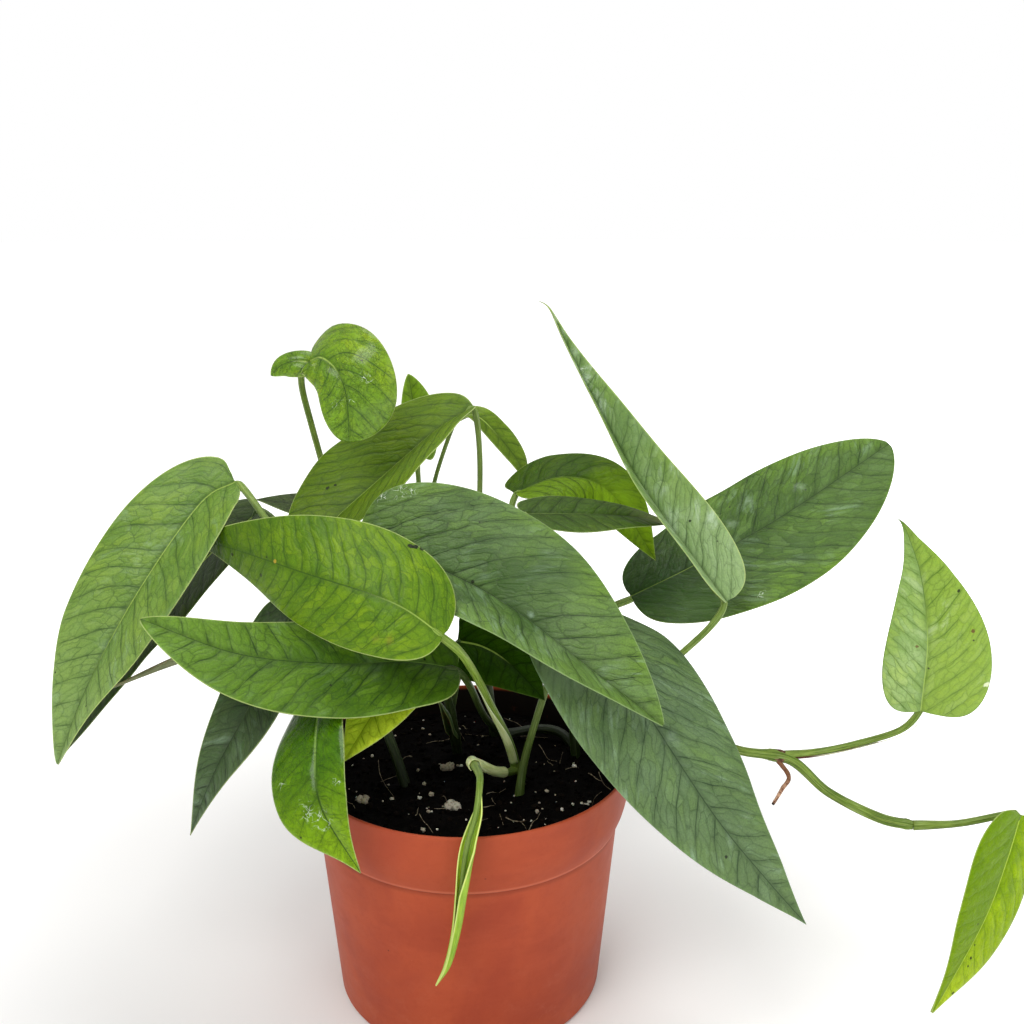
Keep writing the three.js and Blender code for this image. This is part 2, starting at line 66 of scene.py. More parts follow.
LEAVES = {
    "leaf_far_left": dict(rib=[(-81, 5, 194), (-93, 0, 187), (-112, -14, 160), (-128, -27, 130),
        (-136.5, -38, 106)], face=[(-0.2, -0.7, 0.6), (-0.5, -0.7, 0.5)], half=(23, 23), fold=22,
        shape=(0.52, 0.68, 0.4), root=("vine_left", 0.55), girth=1.5, stalk=[(-52, -8, 154),
        (-62, -10, 174), (-70, -6, 185), (-77, 0, 192)]),
    "leaf_behind_left": dict(rib=[(-76, 20, 180), (-96, 10, 163), (-121, -6, 135),
        (-140, -26, 103)], face=[(-0.5, -0.4, 0.8), (-0.4, -0.7, 0.6)], half=(22, 16), fold=10,
        shape=(0.5, 1), root=("vine_left", 0.72), girth=1.5, stalk=[(-60, 16, 164)]),
    "leaf_front_light": dict(rib=[(-5, -50, 157), (-21, -49, 168), (-51, -37, 174), (-84, -13, 176),
        (-98, -2, 172)], face=[(0.2, -0.8, 0.6), (-0.4, -0.9, -0.1)], half=(22, 19), fold=-6,
        shape=(0.62, 1.35), root=("vine_front", 0.31), girth=1.6, stalk=[(15, -8, 100),
        (9, -17, 118), (5, -27, 132), (0, -42, 148)]),
    "leaf_front_low": dict(rib=[(-2, -23.5, 135), (-20, -28, 139.5), (-42, -36, 142),
        (-72.5, -41, 147.5), (-103, -42, 160)], face=[(0.3, -0.5, 0.8), (0.2, -0.7, 0.6)],
        half=(15, 20), fold=10, shape=(0.47, 0.8), root=("vine_soil", 1), girth=1.5,
        stalk=[(6, 8, 102), (1, -8, 122)]),
    "leaf_back_wide": dict(rib=[(2, 38, 215), (-12, 33, 207), (-31, 22, 192), (-50, 12, 176),
        (-61, 5, 163)], face=[(-0.4, -0.3, 0.9), (-0.4, -0.6, 0.7)], half=(27, 21), fold=26,
        curl=-20, shape=(0.75, 0.75), root=("vine_back", 0.6), girth=1.3, stalk=[(3, 40, 160),
        (4, 38, 194)]),
    "leaf_top_curled": dict(rib=[(-56, 20, 234.5), (-51, 17, 236), (-45, 12, 232), (-41.5, 9, 223),
        (-41, 7, 207.5)], face=[(-0.7, -0.2, 0.6), (0.2, -0.9, 0.3)], half=(11, 19), fold=11,
        curl=-40, shape=(0.5, 0.52), root=("vine_left", 1), girth=1.4, stalk=[(-55, 37, 189),
        (-58.5, 32, 209), (-60, 25, 224), (-59, 22, 231.5)]),
    "leaf_centre_blue": dict(rib=[(-38, -4, 177), (-5, -17, 167), (17, -31, 159), (41, -47, 145),
        (64, -58, 130)], face=[(-0.1, -0.6, 0.8), (0.3, -0.5, 0.8)], half=(21, 31), fold=34,
        curl=-20, shape=(0.5, 0.85), root=("vine_middle", 1), girth=1.6, stalk=[(-25, -2, 156)]),
    "leaf_right_hanging": dict(rib=[(36, -4, 148), (50, -24, 138), (62, -40, 124), (81, -58, 99),
        (97, -66, 81), (110, -70, 67)], face=[(0.3, -0.3, 0.9), (0.2, -0.9, 0.5)], half=(28, 30),
        fold=2, shape=(0.45, 1.18), root=(19, -14, 72), girth=1.6, stalk=[(19, -14, 82),
        (21, -10, 94), (25, -9, 109), (31, -7, 129)]),
    "leaf_under_centre": dict(rib=[(-4, 7, 133), (6, 2, 132.5), (16, -5, 128.5), (28, -17, 120)],
        face=[(-0.2, -0.75, 0.65), (-0.1, -0.7, 0.7)], half=(14, 14), fold=10, shape=(0.46, 1.1),
        root=("vine_middle", 0.5), girth=1.4, stalk=[(-3, 10, 122)]),
    "leaf_right_dark": dict(rib=[(62, 30, 142), (88, 34, 154), (122, 42, 171), (165, 52, 198)],
        face=[(-0.35, -0.4, 0.85), (-0.27, -0.68, 0.68)], half=(33, 27), fold=7, shape=(0.5, 0.66),
        root=("vine_right", 0.45), girth=1.6, stalk=[(42, 24, 124), (51, 28, 136)]),
    "leaf_upright": dict(rib=[(93, -2, 151), (82, 6, 165), (62, 16, 192), (46.5, 23, 219.5),
        (36, 26, 239.5), (30.8, 26.5, 250.5), (28.4, 26.5, 253.8), (25.6, 26.5, 255.2)],
        face=[(0.3, -0.7, 0.6), (0.5, -0.9, 0.2)], half=(16.2, 11.4), fold=52, curl=-10,
        shape=(0.48, 1.45), root=("vine_trailing", 0.17), girth=1.5, stalk=[(65, 10, 112),
        (77, 5, 127), (88, -1, 142)]),
    "leaf_vine_upper": dict(rib=[(172, 12, 102), (173, 15, 130), (170.2, 20, 153), (166, 24, 166.8),
        (163.4, 25.5, 172.6), (160.4, 26, 175.4)], face=[(-0.2, -1, 0.1), (-0.25, -0.9, 0.25)],
        half=(23, 16), fold=12, shape=(0.56, 1.5, 0.1), root=("vine_trailing", 0.62), girth=1.5,
        stalk=[(135, 20, 81), (150, 19, 85), (166, 15, 93)]),
    "leaf_vine_lower": dict(rib=[(207, -4, 68), (201, -10, 52), (190, -20, 32), (168, -36, 6)],
        face=[(0.6, -0.8, 0.1), (0.6, -0.8, 0)], half=(25, 22), fold=7, shape=(0.5, 1, 0.3),
        root=("vine_trailing", 1), girth=1.6, stalk=[(186, 1, 61), (200, -2, 66)]),
    "leaf_back_arched": dict(rib=[(-7, 55, 206.5), (-1, 57, 208.5), (4, 58, 206.8), (10, 58, 200.7),
        (15, 57.5, 194.8), (18.7, 57, 189.4), (21.3, 56.5, 183.5)], face=[(-0.6, -0.1, 0.8),
        (0.6, -0.6, 0.5)], half=(4.5, 7.5), fold=6, shape=(0.7, 0.6), root=("vine_back", 1),
        girth=1, stalk=[(-15, 50, 180)]),
    "leaf_back_folded": dict(rib=[(17, 30, 183.5), (36, 37, 188), (54, 37, 182), (71, 25, 158)],
        face=[(-0.28, -0.1, 0.96), (0.3, -0.85, 0.44)], half=(15, 15), fold=8, shape=(0.5, 1.05),
        root=("vine_right", 1), girth=1.4, stalk=[(16, 26, 174)]),
    "leaf_back_dark": dict(rib=[(19.5, 2, 183), (36, 5, 182), (56, 10, 180), (77, 17, 175)],
        face=[(0.26, -0.27, 0.93), (0.24, -0.21, 0.95)], half=(12, 12), fold=8, shape=(0.62, 1.1),
        root=("vine_right", 0.75), girth=1.3, stalk=[(27, 8, 154), (23, 3, 171)]),
    "leaf_back_small": dict(rib=[(-22, 66, 190), (-23, 66, 207), (-25, 64, 224)],
        face=[(0.3, -0.95, 0), (0.3, -0.95, 0)], half=(9, 6), fold=10, shape=(0.5, 0.75),
        root=("vine_back", 0.86), girth=1.2, stalk=[(-20, 60, 169), (-22, 65, 181)]),
    "leaf_left_hanging": dict(rib=[(-58, -18, 156), (-71, -32, 127), (-83, -40, 105),
        (-92, -44, 83)], face=[(-0.4, -0.75, 0.54), (-0.44, -0.85, 0.3)], half=(14, 13), fold=11,
        shape=(0.5, 1.15), root=("vine_left", 0.5), girth=1.4, stalk=[(-44, -6, 140),
        (-52, -13, 154)]),
    "leaf_front_glossy": dict(rib=[(-47, -34, 132), (-47, -50, 120), (-44, -62, 105),
        (-31, -69, 85)], face=[(-0.7, -0.5, 0.5), (0.15, -0.95, 0.25)], half=(17, 11), fold=9,
        curl=-24, shape=(0.52, 0.9, 0.5), root=("vine_left", 0.35), girth=1.4,
        stalk=[(-37, -16, 120)]),
    "leaf_pale_under": dict(rib=[(-18, -14, 134), (-28, -28, 125), (-40, -42, 109)],
        face=[(-0.13, -0.7, 0.7), (-0.13, -0.72, 0.68)], half=(12, 12), fold=8, shape=(0.5, 1.08),
        root=("vine_middle", 0.7), girth=1.2, stalk=[(-13, -4, 127)]),
    "leaf_back_left": dict(rib=[(-50, 44, 176), (-66, 42, 176), (-83, 38, 179)],
        face=[(-0.13, -0.22, 0.97), (0.27, -0.14, 0.95)], half=(11, 11), fold=4, shape=(0.5, 1.1),
        root=("vine_back", 0.75), girth=1.2, stalk=[(-20, 47, 162), (-38, 46, 172)]),
}
# The lobe that curls over on leaf_top_curled
CURLED_LOBE = dict(rib=[(-54, 20, 233.5), (-60, 20, 234.5), (-66, 21, 233), (-70.5, 22, 229)],
    face=[(0, -0.8, 0.6), (-0.3, -0.9, 0.3)], half=(5, 6), fold=10, curl=-50, shape=(0.5, 0.8))
ROLLED = {
    "new_leaf_front": dict(root=("vine_front", 1), path=[(5, -43, 107), (6, -55, 109),
        (5, -63, 103), (2, -65.5, 92), (0, -65, 76), (-2, -63, 60), (-5, -61, 46), (-9, -60, 37)]),
    "aerial_root": dict(root=("vine_trailing", 0.61), path=[(124, 14, 74), (121, 11, 70),
        (117, 8, 65)]),
    "cataphyll": dict(root=("vine_middle", 0.3), radii=(1.5, 1.6, 1.5, 0.4), path=[(-7, 8, 96),
        (-8, 3, 104), (-10, -5, 114)]),
    "new_leaf_left": dict(root=("vine_left", 0.44), radii=(1.4, 1.5, 1.7, 1.8, 1.6, 0.4),
        path=[(-52, -4, 136), (-66, -10, 140), (-82, -18, 142), (-98, -26, 139), (-118, -33, 132)]),
}

# Looks: kind of leaf, main, second and vein colour as seen on a screen, side veins, and what
# differs from a plain leaf. Marks are (from the rib, along it, radius, colour, strength);
# glints, which are crinkled white reflections, are (from the rib, along it, radius)
VEINS = dict(spacing=7.5, slope=0.7, sweep=0.01, pucker=0.16, wave=0.8, groove=0.3)
PLAIN = dict(spec=0.3, gloss=0, rough=0.44, thin=0.06, contrast=1, cell=3.4, silver=0,
    veil=(150, 176, 150), veil_at=0.5, rib=0.5, rib_fade=0.3, pale=(158, 184, 84), rim=0.65,
    margin=(176, 192, 118), rim_warm=0, base=None, side=None, wrinkle=0, relief=0.2,
    stem="green", marks=(), glints=())
# What is different on every underside
UNDER = dict(spec=0.15, gloss=0, silver=0, rim_warm=0, base=None, side=None, wrinkle=0,
    relief=0.16, marks=(), glints=())
BLACK, BROWN = (16, 20, 8), (96, 62, 30)


def tones(kind, main, second, vein, veins=(), **more):
    warm = [c + d for c, d in zip(main, (16, 12, 0))]
    own = dict(slot=kind + "_leaf", main=main, second=second, vein=vein, tip=main, warm=warm)
    return {**PLAIN, **own, **more, "veins": {**VEINS, **dict(veins)}}


LOOKS = {
    "leaf_far_left": tones("green", (106, 138, 56), (88, 122, 38), (48, 76, 24),
        dict(spacing=8.5, slope=0.5), tip=(134, 160, 92), silver=0.3, rib_fade=0.5, rib=0.4,
        warm=(128, 156, 40), glints=[(-17.2, 64, 2), (-10.7, 74, 1.6)]),
    # leaf_behind_left is given dark tones as painted shade: it lies in shadow behind leaf_far_left
    "leaf_behind_left": tones("dark", (60, 80, 38), (48, 66, 26), (30, 46, 16), rim=0.3,
        stem="dark"),
    "leaf_front_light": tones("young", (98, 134, 14), (76, 112, 8), (40, 70, 6),
        dict(spacing=6, slope=0.3, sweep=0.022), tip=(48, 74, 3), warm=(132, 162, 12), spec=0.2,
        rib_fade=0.02, contrast=0.85, rib=0.3, cell=2.9, stem="pale",
        marks=[(19.6, 22.4, 1, BLACK, 0.95), (20.2, 20.8, 1.1, BLACK, 0.95),
            (20.6, 19.2, 0.8, BLACK, 0.9), (-10.7, 15.1, 2.6, (122, 104, 36), 0.55),
            (-12.5, 20, 2.2, (134, 130, 50), 0.4), (0.6, 64.7, 0.7, (176, 146, 40), 0.8),
            (-5.7, 70.9, 0.7, BLACK, 0.8), (-2, 86, 0.8, BLACK, 0.9)]),
    "leaf_front_low": tones("green", (75, 112, 8), (57, 92, 4), (28, 54, 4),
        dict(spacing=8.5, slope=0.6), tip=(110, 146, 48), silver=0.15, rib_fade=0.12, rib=0.26,
        spec=0.2, pale=(112, 148, 60), warm=(104, 142, 8), contrast=0.95, stem="dark",
        marks=[(2.3, 14.1, 0.65, BLACK, 0.95), (1.3, 12.2, 0.6, BLACK, 0.95)]),
    "leaf_back_wide": tones("green", (98, 127, 12), (82, 111, 8), (46, 70, 8),
        dict(slope=0.9, sweep=0.014), tip=(82, 108, 4), rib_fade=0.7, rib=0.35, spec=0.2,
        marks=[(11.7, 61.2, 0.9, BLACK, 0.9), (10.3, 58.4, 0.7, BLACK, 0.9)]),
    "leaf_top_curled": tones("young", (112, 150, 26), (90, 128, 12), (48, 80, 6),
        dict(spacing=6.5, slope=0.6), warm=(150, 176, 14), gloss=0.35, rough=0.36, spec=0.2,
        wrinkle=1.6, rib_fade=0.2, stem="trailing",
        glints=[(-9, 20.9, 3), (-1.8, 26.2, 2.2), (3.5, 27.4, 3)]),
    "leaf_centre_blue": tones("blue_green", (90, 117, 66), (66, 93, 43), (26, 46, 14),
        dict(spacing=11, slope=1, sweep=0.008, pucker=0.08, groove=0.18), spec=0.22,
        tip=(106, 136, 66), silver=0.42, rib_fade=-0.3, margin=(150, 172, 118), rim=0.5,
        warm=(104, 138, 40), rim_warm=0.7, cell=4.2,
        # the wide dark mark is painted shade over the middle of the blade; the wide pale grey-green
        # marks are painted sheen, the small pale one is a scratch
        marks=[(-11, 62, 26, (50, 78, 28), 0.8), (-1, 46, 0.8, BLACK, 0.85),
            (4, 84, 9, (140, 164, 122), 0.35), (-2, 70, 1.6, (168, 196, 168), 0.6),
            (3, 104, 4, (156, 178, 144), 0.4)],
        glints=[(-19.4, 8.3, 4), (-15.8, 3.6, 3.6), (-21.7, 12.2, 3)]),
    "leaf_right_hanging": tones("blue_green", (98, 122, 84), (78, 102, 63), (36, 58, 28),
        dict(spacing=10, slope=0.9, sweep=0.012, pucker=0.08, groove=0.18), tip=(96, 120, 72),
        silver=0.5, rib_fade=-0.3, margin=(132, 156, 116), rim=0.4, warm=(104, 134, 62),
        # its pale grey-green marks are painted sheen
        rim_warm=0.35, cell=4.2, marks=[(22, 30, 20, (132, 158, 116), 0.5),
            (5.6, 98.5, 0.6, BLACK, 0.9), (-3, 60, 4, (150, 174, 146), 0.35)]),
    # leaf_under_centre is given nearly black-green tones as painted shade: it sits in shadow under
    # the leaves above
    "leaf_under_centre": tones("dark", (44, 76, 4), (32, 60, 2), (18, 38, 2), spec=0.04,
        rim=0.1, stem="dark"),
    "leaf_right_dark": tones("blue_green", (68, 98, 36), (54, 82, 24), (30, 50, 14),
        dict(spacing=10, slope=0.8, pucker=0.08, groove=0.2), tip=(84, 114, 46), silver=0.3,
        # the dark base tone and the wide dark mark at the foot are painted shade from leaf_upright;
        # the small pale grey-green marks are painted sheen
        spec=0.2, rib_fade=0.1, rib=0.3, rim=0.3, rim_warm=0.6, contrast=0.9, base=(30, 56, 8),
        warm=(108, 144, 40), marks=[(2, 8, 22, (34, 66, 6), 0.8), (18, 22, 14, (58, 92, 18), 0.7),
            (-6.4, 81, 3.4, (158, 180, 150), 0.5), (-14, 62, 3, (150, 174, 144), 0.4),
            (-9, 50, 3.6, (150, 172, 146), 0.45)], glints=[(28, 40.7, 2.4)]),
    "leaf_upright": tones("blue_green", (124, 152, 92), (98, 128, 64), (50, 76, 34),
        dict(spacing=8.5, slope=1, pucker=0.1), silver=0.65, veil=(184, 204, 176), veil_at=0.44,
        rib=0.26, rim_warm=0.3, warm=(124, 156, 50), base=(150, 176, 122), tip=(102, 132, 74),
        contrast=0.75, marks=[(7.2, 31.5, 0.6, BLACK, 0.9)],
        glints=[(1.4, 99.4, 1.8), (1.9, 94.6, 1.8), (2, 90.5, 1.6)]),
    "leaf_vine_upper": tones("young", (156, 182, 118), (124, 156, 80), (72, 106, 20),
        dict(spacing=7, slope=0.8, pucker=0.12), warm=(162, 188, 40), gloss=0.3, silver=0.5,
        veil=(200, 218, 168), spec=0.2, rib=0.3, side=(138, 168, 44), margin=(98, 128, 52),
        rim=0.7, tip=(124, 156, 70), contrast=0.85, stem="trailing",
        marks=[(12.2, 45.8, 0.7, BLACK, 0.9), (15.9, 31.7, 0.7, BROWN, 0.9),
            (-4, 26, 0.7, BROWN, 0.8), (21.5, 14, 1.2, (226, 232, 196), 0.8)]),
    "leaf_vine_lower": tones("young", (158, 188, 2), (112, 146, 1), (92, 126, 1),
        dict(spacing=8, slope=0.6, pucker=0.55), contrast=0.7, pale=(190, 214, 90),
        tip=(200, 222, 52), gloss=0.06, rough=0.36, spec=0.02, wrinkle=1, rib_fade=0.9,
        warm=(146, 176, 2), rib=0.6, side=(98, 134, 1), stem="trailing",
        marks=[(5.4, 44.6, 0.6, BLACK, 0.9), (-3, 55.7, 0.7, BLACK, 0.9),
            (-3.8, 58.7, 0.6, BLACK, 0.9), (-1.5, 51, 0.45, BLACK, 0.9),
            (-4.3, 69.8, 0.7, BLACK, 0.9)]),
    "leaf_back_arched": tones("green", (108, 136, 30), (88, 116, 18), (54, 78, 8), spec=0.2),
    # leaf_back_folded: its dark main tone is painted shade on the half away from the light; the
    # side half, the tip and the two bright marks are painted light
    "leaf_back_folded": tones("green", (58, 86, 3), (46, 72, 2), (32, 54, 2),
        tip=(140, 178, 14), side=(112, 146, 10), spec=0.1, rim=0.3, rib=0.3, pale=(90, 116, 40),
        marks=[(-2, 44, 15, (112, 146, 16), 0.85), (1, 62, 12, (98, 130, 14), 0.6)]),
    "leaf_back_dark": tones("blue_green", (66, 94, 24), (50, 76, 12), (30, 48, 6), spec=0.15,
        rib=0.3, pale=(90, 112, 50), rim=0.4, marks=[(-1, 52, 12, (112, 122, 68), 0.8)]),
    "leaf_back_small": tones("green", (122, 160, 16), (100, 136, 10), (62, 90, 4)),
    "leaf_left_hanging": tones("dark", (50, 74, 32), (40, 60, 22), (24, 40, 12),
        tip=(84, 108, 68), silver=0.35, rim=0.4, rib=0.3, pale=(80, 104, 50), stem="dark"),
    "leaf_front_glossy": tones("young", (74, 118, 1), (52, 94, 1), (34, 66, 1),
        contrast=0.55, tip=(150, 186, 24), gloss=0.4, rough=0.3, wrinkle=1.6, spec=0.05,
        warm=(96, 138, 1), rib=0.8, pale=(138, 170, 84),
        glints=[(12.2, 30.7, 2.2), (1.5, 43.8, 4.6), (5.5, 39.7, 3.6), (-8, 34, 2.4)]),
    "leaf_pale_under": tones("young", (208, 228, 60), (188, 212, 44), (120, 146, 14),
        spec=0.1, thin=0.15, stem="dark"),
    "leaf_back_left": tones("dark", (64, 80, 38), (50, 66, 26), (34, 46, 16), rim=0.3,
        spec=0.15),
}

# Larger white grains on the soil (x, y, radius) and pale strands (from x, y to x, y)
PERLITE = [(-8, 4, 2.5), (-3, 6, 0.8), (-5, -23, 2.9), (-13, -15, 1.2), (-19, 2, 0.8),
    (-37, -19, 2.4), (-27, -17, 0.9), (-17, -17, 1), (-13, -27, 0.8), (-12, -26, 0.5),
    (-14, -39, 1.1), (-9, -5, 0.4), (-38, 15, 0.8), (-44, 7, 0.9), (-30, -19, 0.5),
    (-16, -8, 1.1), (-17, 34, 0.6), (16, -20, 0.4), (14, -25, 0.4), (25, -28, 0.9), (29, -12, 1),
    (32, -14, 0.4), (27, -25, 0.4), (23, -32, 0.5), (34, -24, 0.9), (38, -21, 0.7),
    (43, -22, 0.9), (40, 6, 1), (40, -4, 0.5), (40, 9, 0.6), (26, -21, 0.6)]
STRANDS = [(45, 1, 49, -6), (49, 2, 49, -10), (27, 24, 29, 7), (9, -20, 11, -23),
    (6, -25, 10, -25), (12, -29, 14, -36), (17, -31, 22, -37), (-35, 10, -32, -19),
    (-43, -20, -38, -24), (-16, -30, -11, -41), (7, -16, 13, -10), (-7, 41, -4, 25)]

POT_HEIGHT, RIM_RADIUS, WALL, POT_SEGMENTS = 92, 60, 1.3, 192
COLLAR_HEIGHT, COLLAR_FLARE, COLLAR_FOOT, COLLAR_STEP = 23, 13, 56.2, 0.5
COLLAR_Z, BODY_TOP = POT_HEIGHT - COLLAR_HEIGHT, COLLAR_FOOT - COLLAR_STEP
HEEL_RADIUS, HEEL_HEIGHT, BASE_RADIUS = 50, 1.6, 48.6
DRAIN_HOLES, DRAIN_RADIUS, DRAIN_CIRCLE = 8, 4, 38
SOIL_TOP, SOIL_CROWN, SOIL_RINGS, SOIL_SPOKES = 82, 1, 46, 144
# Loose things on the soil: how many, how far out, and the seed of their random draws
CRUMBS, GRAINS, FIBRES, FIBRE_REACH = (900, 56, 31), (70, 55, 57), (22, 50, 83), 55.5
# Blades: usual curl, how far the lobes reach back and how near the foot, half the thickness and
# that of the edge, the ridge under the rib, unevenness; a stalk's girth at its foot and higher up
CURL, LOBE, LOBE_AT, THICK, EDGE, RIDGE, UNEVEN = -14, 5, 0.12, 0.26, 0.05, 0.75, 0.13
STALK_FOOT, STALK_TOP, LEAF_SEED = 1.18, 0.86, 100


# ---------------------------------------------------------------- curves and fields
def unit(v):
    return v / np.maximum(np.linalg.norm(v, axis=-1, keepdims=True), 1e-12)


class Path:
    """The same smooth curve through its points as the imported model's, measured by length."""

    def __init__(self, points, per_span=48):
        p = np.asarray(points, float)
        ext = np.vstack([2 * p[0] - p[1], p, 2 * p[-1] - p[-2]])
        t = np.linspace(0, 1, per_span, endpoint=False)[:, None]
        spans = [0.5 * (2 * b + (c - a) * t + (2 * a - 5 * b + 4 * c - d) * t ** 2
                        + (3 * b - a - 3 * c + d) * t ** 3)
                 for a, b, c, d in zip(ext, ext[1:], ext[2:], ext[3:])]
        self.dense = np.vstack(spans + [p[-1:]])
        self.marks = np.r_[0, np.cumsum(np.linalg.norm(np.diff(self.dense, axis=0), axis=1))]
        self.length = self.marks[-1]

    def at(self, share):
        where = np.clip(np.asarray(share, float), 0, 1) * self.length
        return np.stack([np.interp(where, self.marks, self.dense[:, k]) for k in range(3)], -1)

    def along(self, share, step=0.004):
        return unit(self.at(share + step) - self.at(share - step))


class Wander:
    """A smooth field of the plane between about -1 and 1, made of a few seeded waves."""

    def __init__(self, seed, wavelength, waves=7):
        rng = np.random.default_rng(seed)
        angle = rng.uniform(0, TURN, waves)
        size = TURN / (wavelength * rng.uniform(0.6, 1.5, waves))
        self.kx, self.ky = size * np.cos(angle), size * np.sin(angle)
        self.start = rng.uniform(0, TURN, waves)
        self.gain = 3.2 / np.sqrt(waves)

    def __call__(self, x, y):
        x, y = np.asarray(x, float)[..., None], np.asarray(y, float)[..., None]
        return self.gain * np.sin(self.kx * x + self.ky * y + self.start).mean(-1)


def smooth(x, low, high):
    t = np.clip((x - low) / (high - low), 0, 1)
    return t * t * (3 - 2 * t)


def hump(x, wide):
    return np.exp(-(x / wide) ** 2)


def columns(shape, *fields):
    """Three fields, each an array or one value, as rows of three."""
    return np.stack([np.broadcast_to(f, shape) for f in fields], -1).reshape(-1, 3)


# ---------------------------------------------------------------- meshes
def put_object(name, data):
    ob = bpy.data.objects.new(name, data)
    bpy.context.scene.collection.objects.link(ob)
    return ob


def put_mesh(name, points, faces):
    """A mesh object in the scene, from points in mm."""
    mesh = bpy.data.meshes.new(name)
    mesh.from_pydata((np.vstack(points) * MM).tolist(), [], faces)
    return put_object(name, mesh)


class Build:
    """Collects the parts of one piece: points in mm, faces with a material number, and the
    per-point vectors that the materials read."""

    def __init__(self, *attributes):
        self.points, self.faces, self.slots, self.count = [], [], [], 0
        self.values = {a: [] for a in attributes}

    def add(self, points, faces, slot=0, **values):
        points = np.asarray(points, float).reshape(-1, 3)
        for name, kept in self.values.items():
            kept.append(np.zeros_like(points) + values.get(name, 0))
        self.faces += [tuple(int(i) + self.count for i in f) for f in faces]
        self.slots += slot if isinstance(slot, list) else [slot] * len(faces)
        self.points.append(points)
        self.count += len(points)

    def piece(self, name, materials, finish, node=None, flat=False):
        """The finished piece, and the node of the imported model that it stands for."""
        ob = put_mesh(name, self.points, self.faces)
        mesh = ob.data
        for m in materials:
            mesh.materials.append(m)
        mesh.polygons.foreach_set("material_index", self.slots)
        mesh.polygons.foreach_set("use_smooth", [not flat] * len(self.faces))
        for key, kept in self.values.items():
            field = mesh.attributes.new(key, "FLOAT_VECTOR", "POINT")
            field.data.foreach_set("vector", np.vstack(kept).astype(np.float32).ravel())
        mesh.validate()
        mesh.update()
        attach(ob, "root")
        if node:
            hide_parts(node)
        return ob

    def fine(self, node, materials, finish):
        return self.piece(node + "_fine", materials, finish, node)


def circle(radius, z, spokes):
    """A level ring of points."""
    a = np.linspace(0, TURN, spokes, endpoint=False)
    return columns(spokes, radius * np.cos(a), radius * np.sin(a), z)


def fan_faces(rings, spokes, closed=True, split=False):
    """Faces over a first point, rings of points round it and, if closed, a last point."""
    faces, last = [], 1 + rings * spokes
    for k in range(spokes):
        m = (k + 1) % spokes
        faces.append((0, 1 + k, 1 + m))
        for a, b in ((1 + i * spokes + k, 1 + i * spokes + m) for i in range(rings - 1)):
            c, d = a + spokes, b + spokes
            faces += [(a, c, d), (a, d, b)] if split else [(a, c, d, b)]
        if closed:
            faces.append((last - spokes + k, last, last - spokes + m))
    return faces


def ring_faces(rings, sides):
    """Faces of a tube of rings with closed ends."""
    faces = []
    for i in range(rings - 1):
        for k in range(sides):
            a, b = i * sides + k, i * sides + (k + 1) % sides
            faces.append((a, b, b + sides, a + sides))
    return faces + [tuple(range(sides))[::-1], tuple(range((rings - 1) * sides, rings * sides))]


def stations(path, step, start, end):
    """The rings of a tube: their shares of the path, their centres and their directions."""
    share = np.linspace(start, end, max(6, int(path.length * (end - start) / step)))
    return share, path.at(share), path.along(share, 0.5 / max(path.length, 1))


def add_tube(build, path, radius, slot=0, sides=14, step=1.4, start=0.0, end=1.0, section=None):
    """A tube along a path. radius is a function of the share along it; section is a function of
    (angle, share) that scales it."""
    share, centre, ahead = stations(path, step, start, end)
    side = np.cross(ahead[0], (0, 0, 1.0))
    if np.linalg.norm(side) < 0.2:
        side = np.cross(ahead[0], (1.0, 0, 0))
    side = unit(side)
    angle = np.linspace(0, TURN, sides, endpoint=False)
    x, y = np.cos(angle), np.sin(angle)
    points, flat, place = [], [], []
    for at, c, forward in zip(share, centre, ahead):
        side = unit(side - forward * (side @ forward))
        r = radius(at) * (section(angle, at) if section else 1)
        points.append(c + np.outer(x * r, side) + np.outer(y * r, np.cross(forward, side)))
        flat.append(columns(sides, at * path.length, 0, at))
        place.append(columns(sides, x, y, at * path.length))
    build.add(np.vstack(points), ring_faces(len(share), sides), slot, flat=np.vstack(flat),
              place=np.vstack(place))


def add_gutter(build, path, radius, gap, toward, slot=0, thick=0.4, arcs=18, step=1.0, start=0.0,
               end=1.0, overlap=0.12):
    """A sheet rolled into an open gutter along a path. gap is the open angle as a function of the
    share, and it faces toward. One margin lies further out than the other."""
    share, centre, ahead = stations(path, step, start, end)
    points, place, flat = [], [], []
    for at, c, forward in zip(share, centre, ahead):
        out = unit(toward - forward * (toward @ forward))
        side = np.cross(forward, out)
        r, g = radius(at), gap(at)
        angle = np.linspace(g / 2, TURN - g / 2, arcs)
        grow = 1 + overlap * (angle / TURN - 0.5)
        edge = r * np.minimum(angle - g / 2, TURN - g / 2 - angle)
        for inner in (0, 1):
            way = slice(None, None, -1 if inner else 1)
            rr, a = np.maximum(r * grow - thick * inner, r * 0.12)[way], angle[way]
            points.append(c + np.outer(np.cos(a) * rr, out) + np.outer(np.sin(a) * rr, side))
            place.append(columns(arcs, edge[way], inner, 0))
            flat.append(columns(arcs, at * path.length, a, at))
    build.add(np.vstack(points), ring_faces(len(share), 2 * arcs), slot, place=np.vstack(place),
              flat=np.vstack(flat))


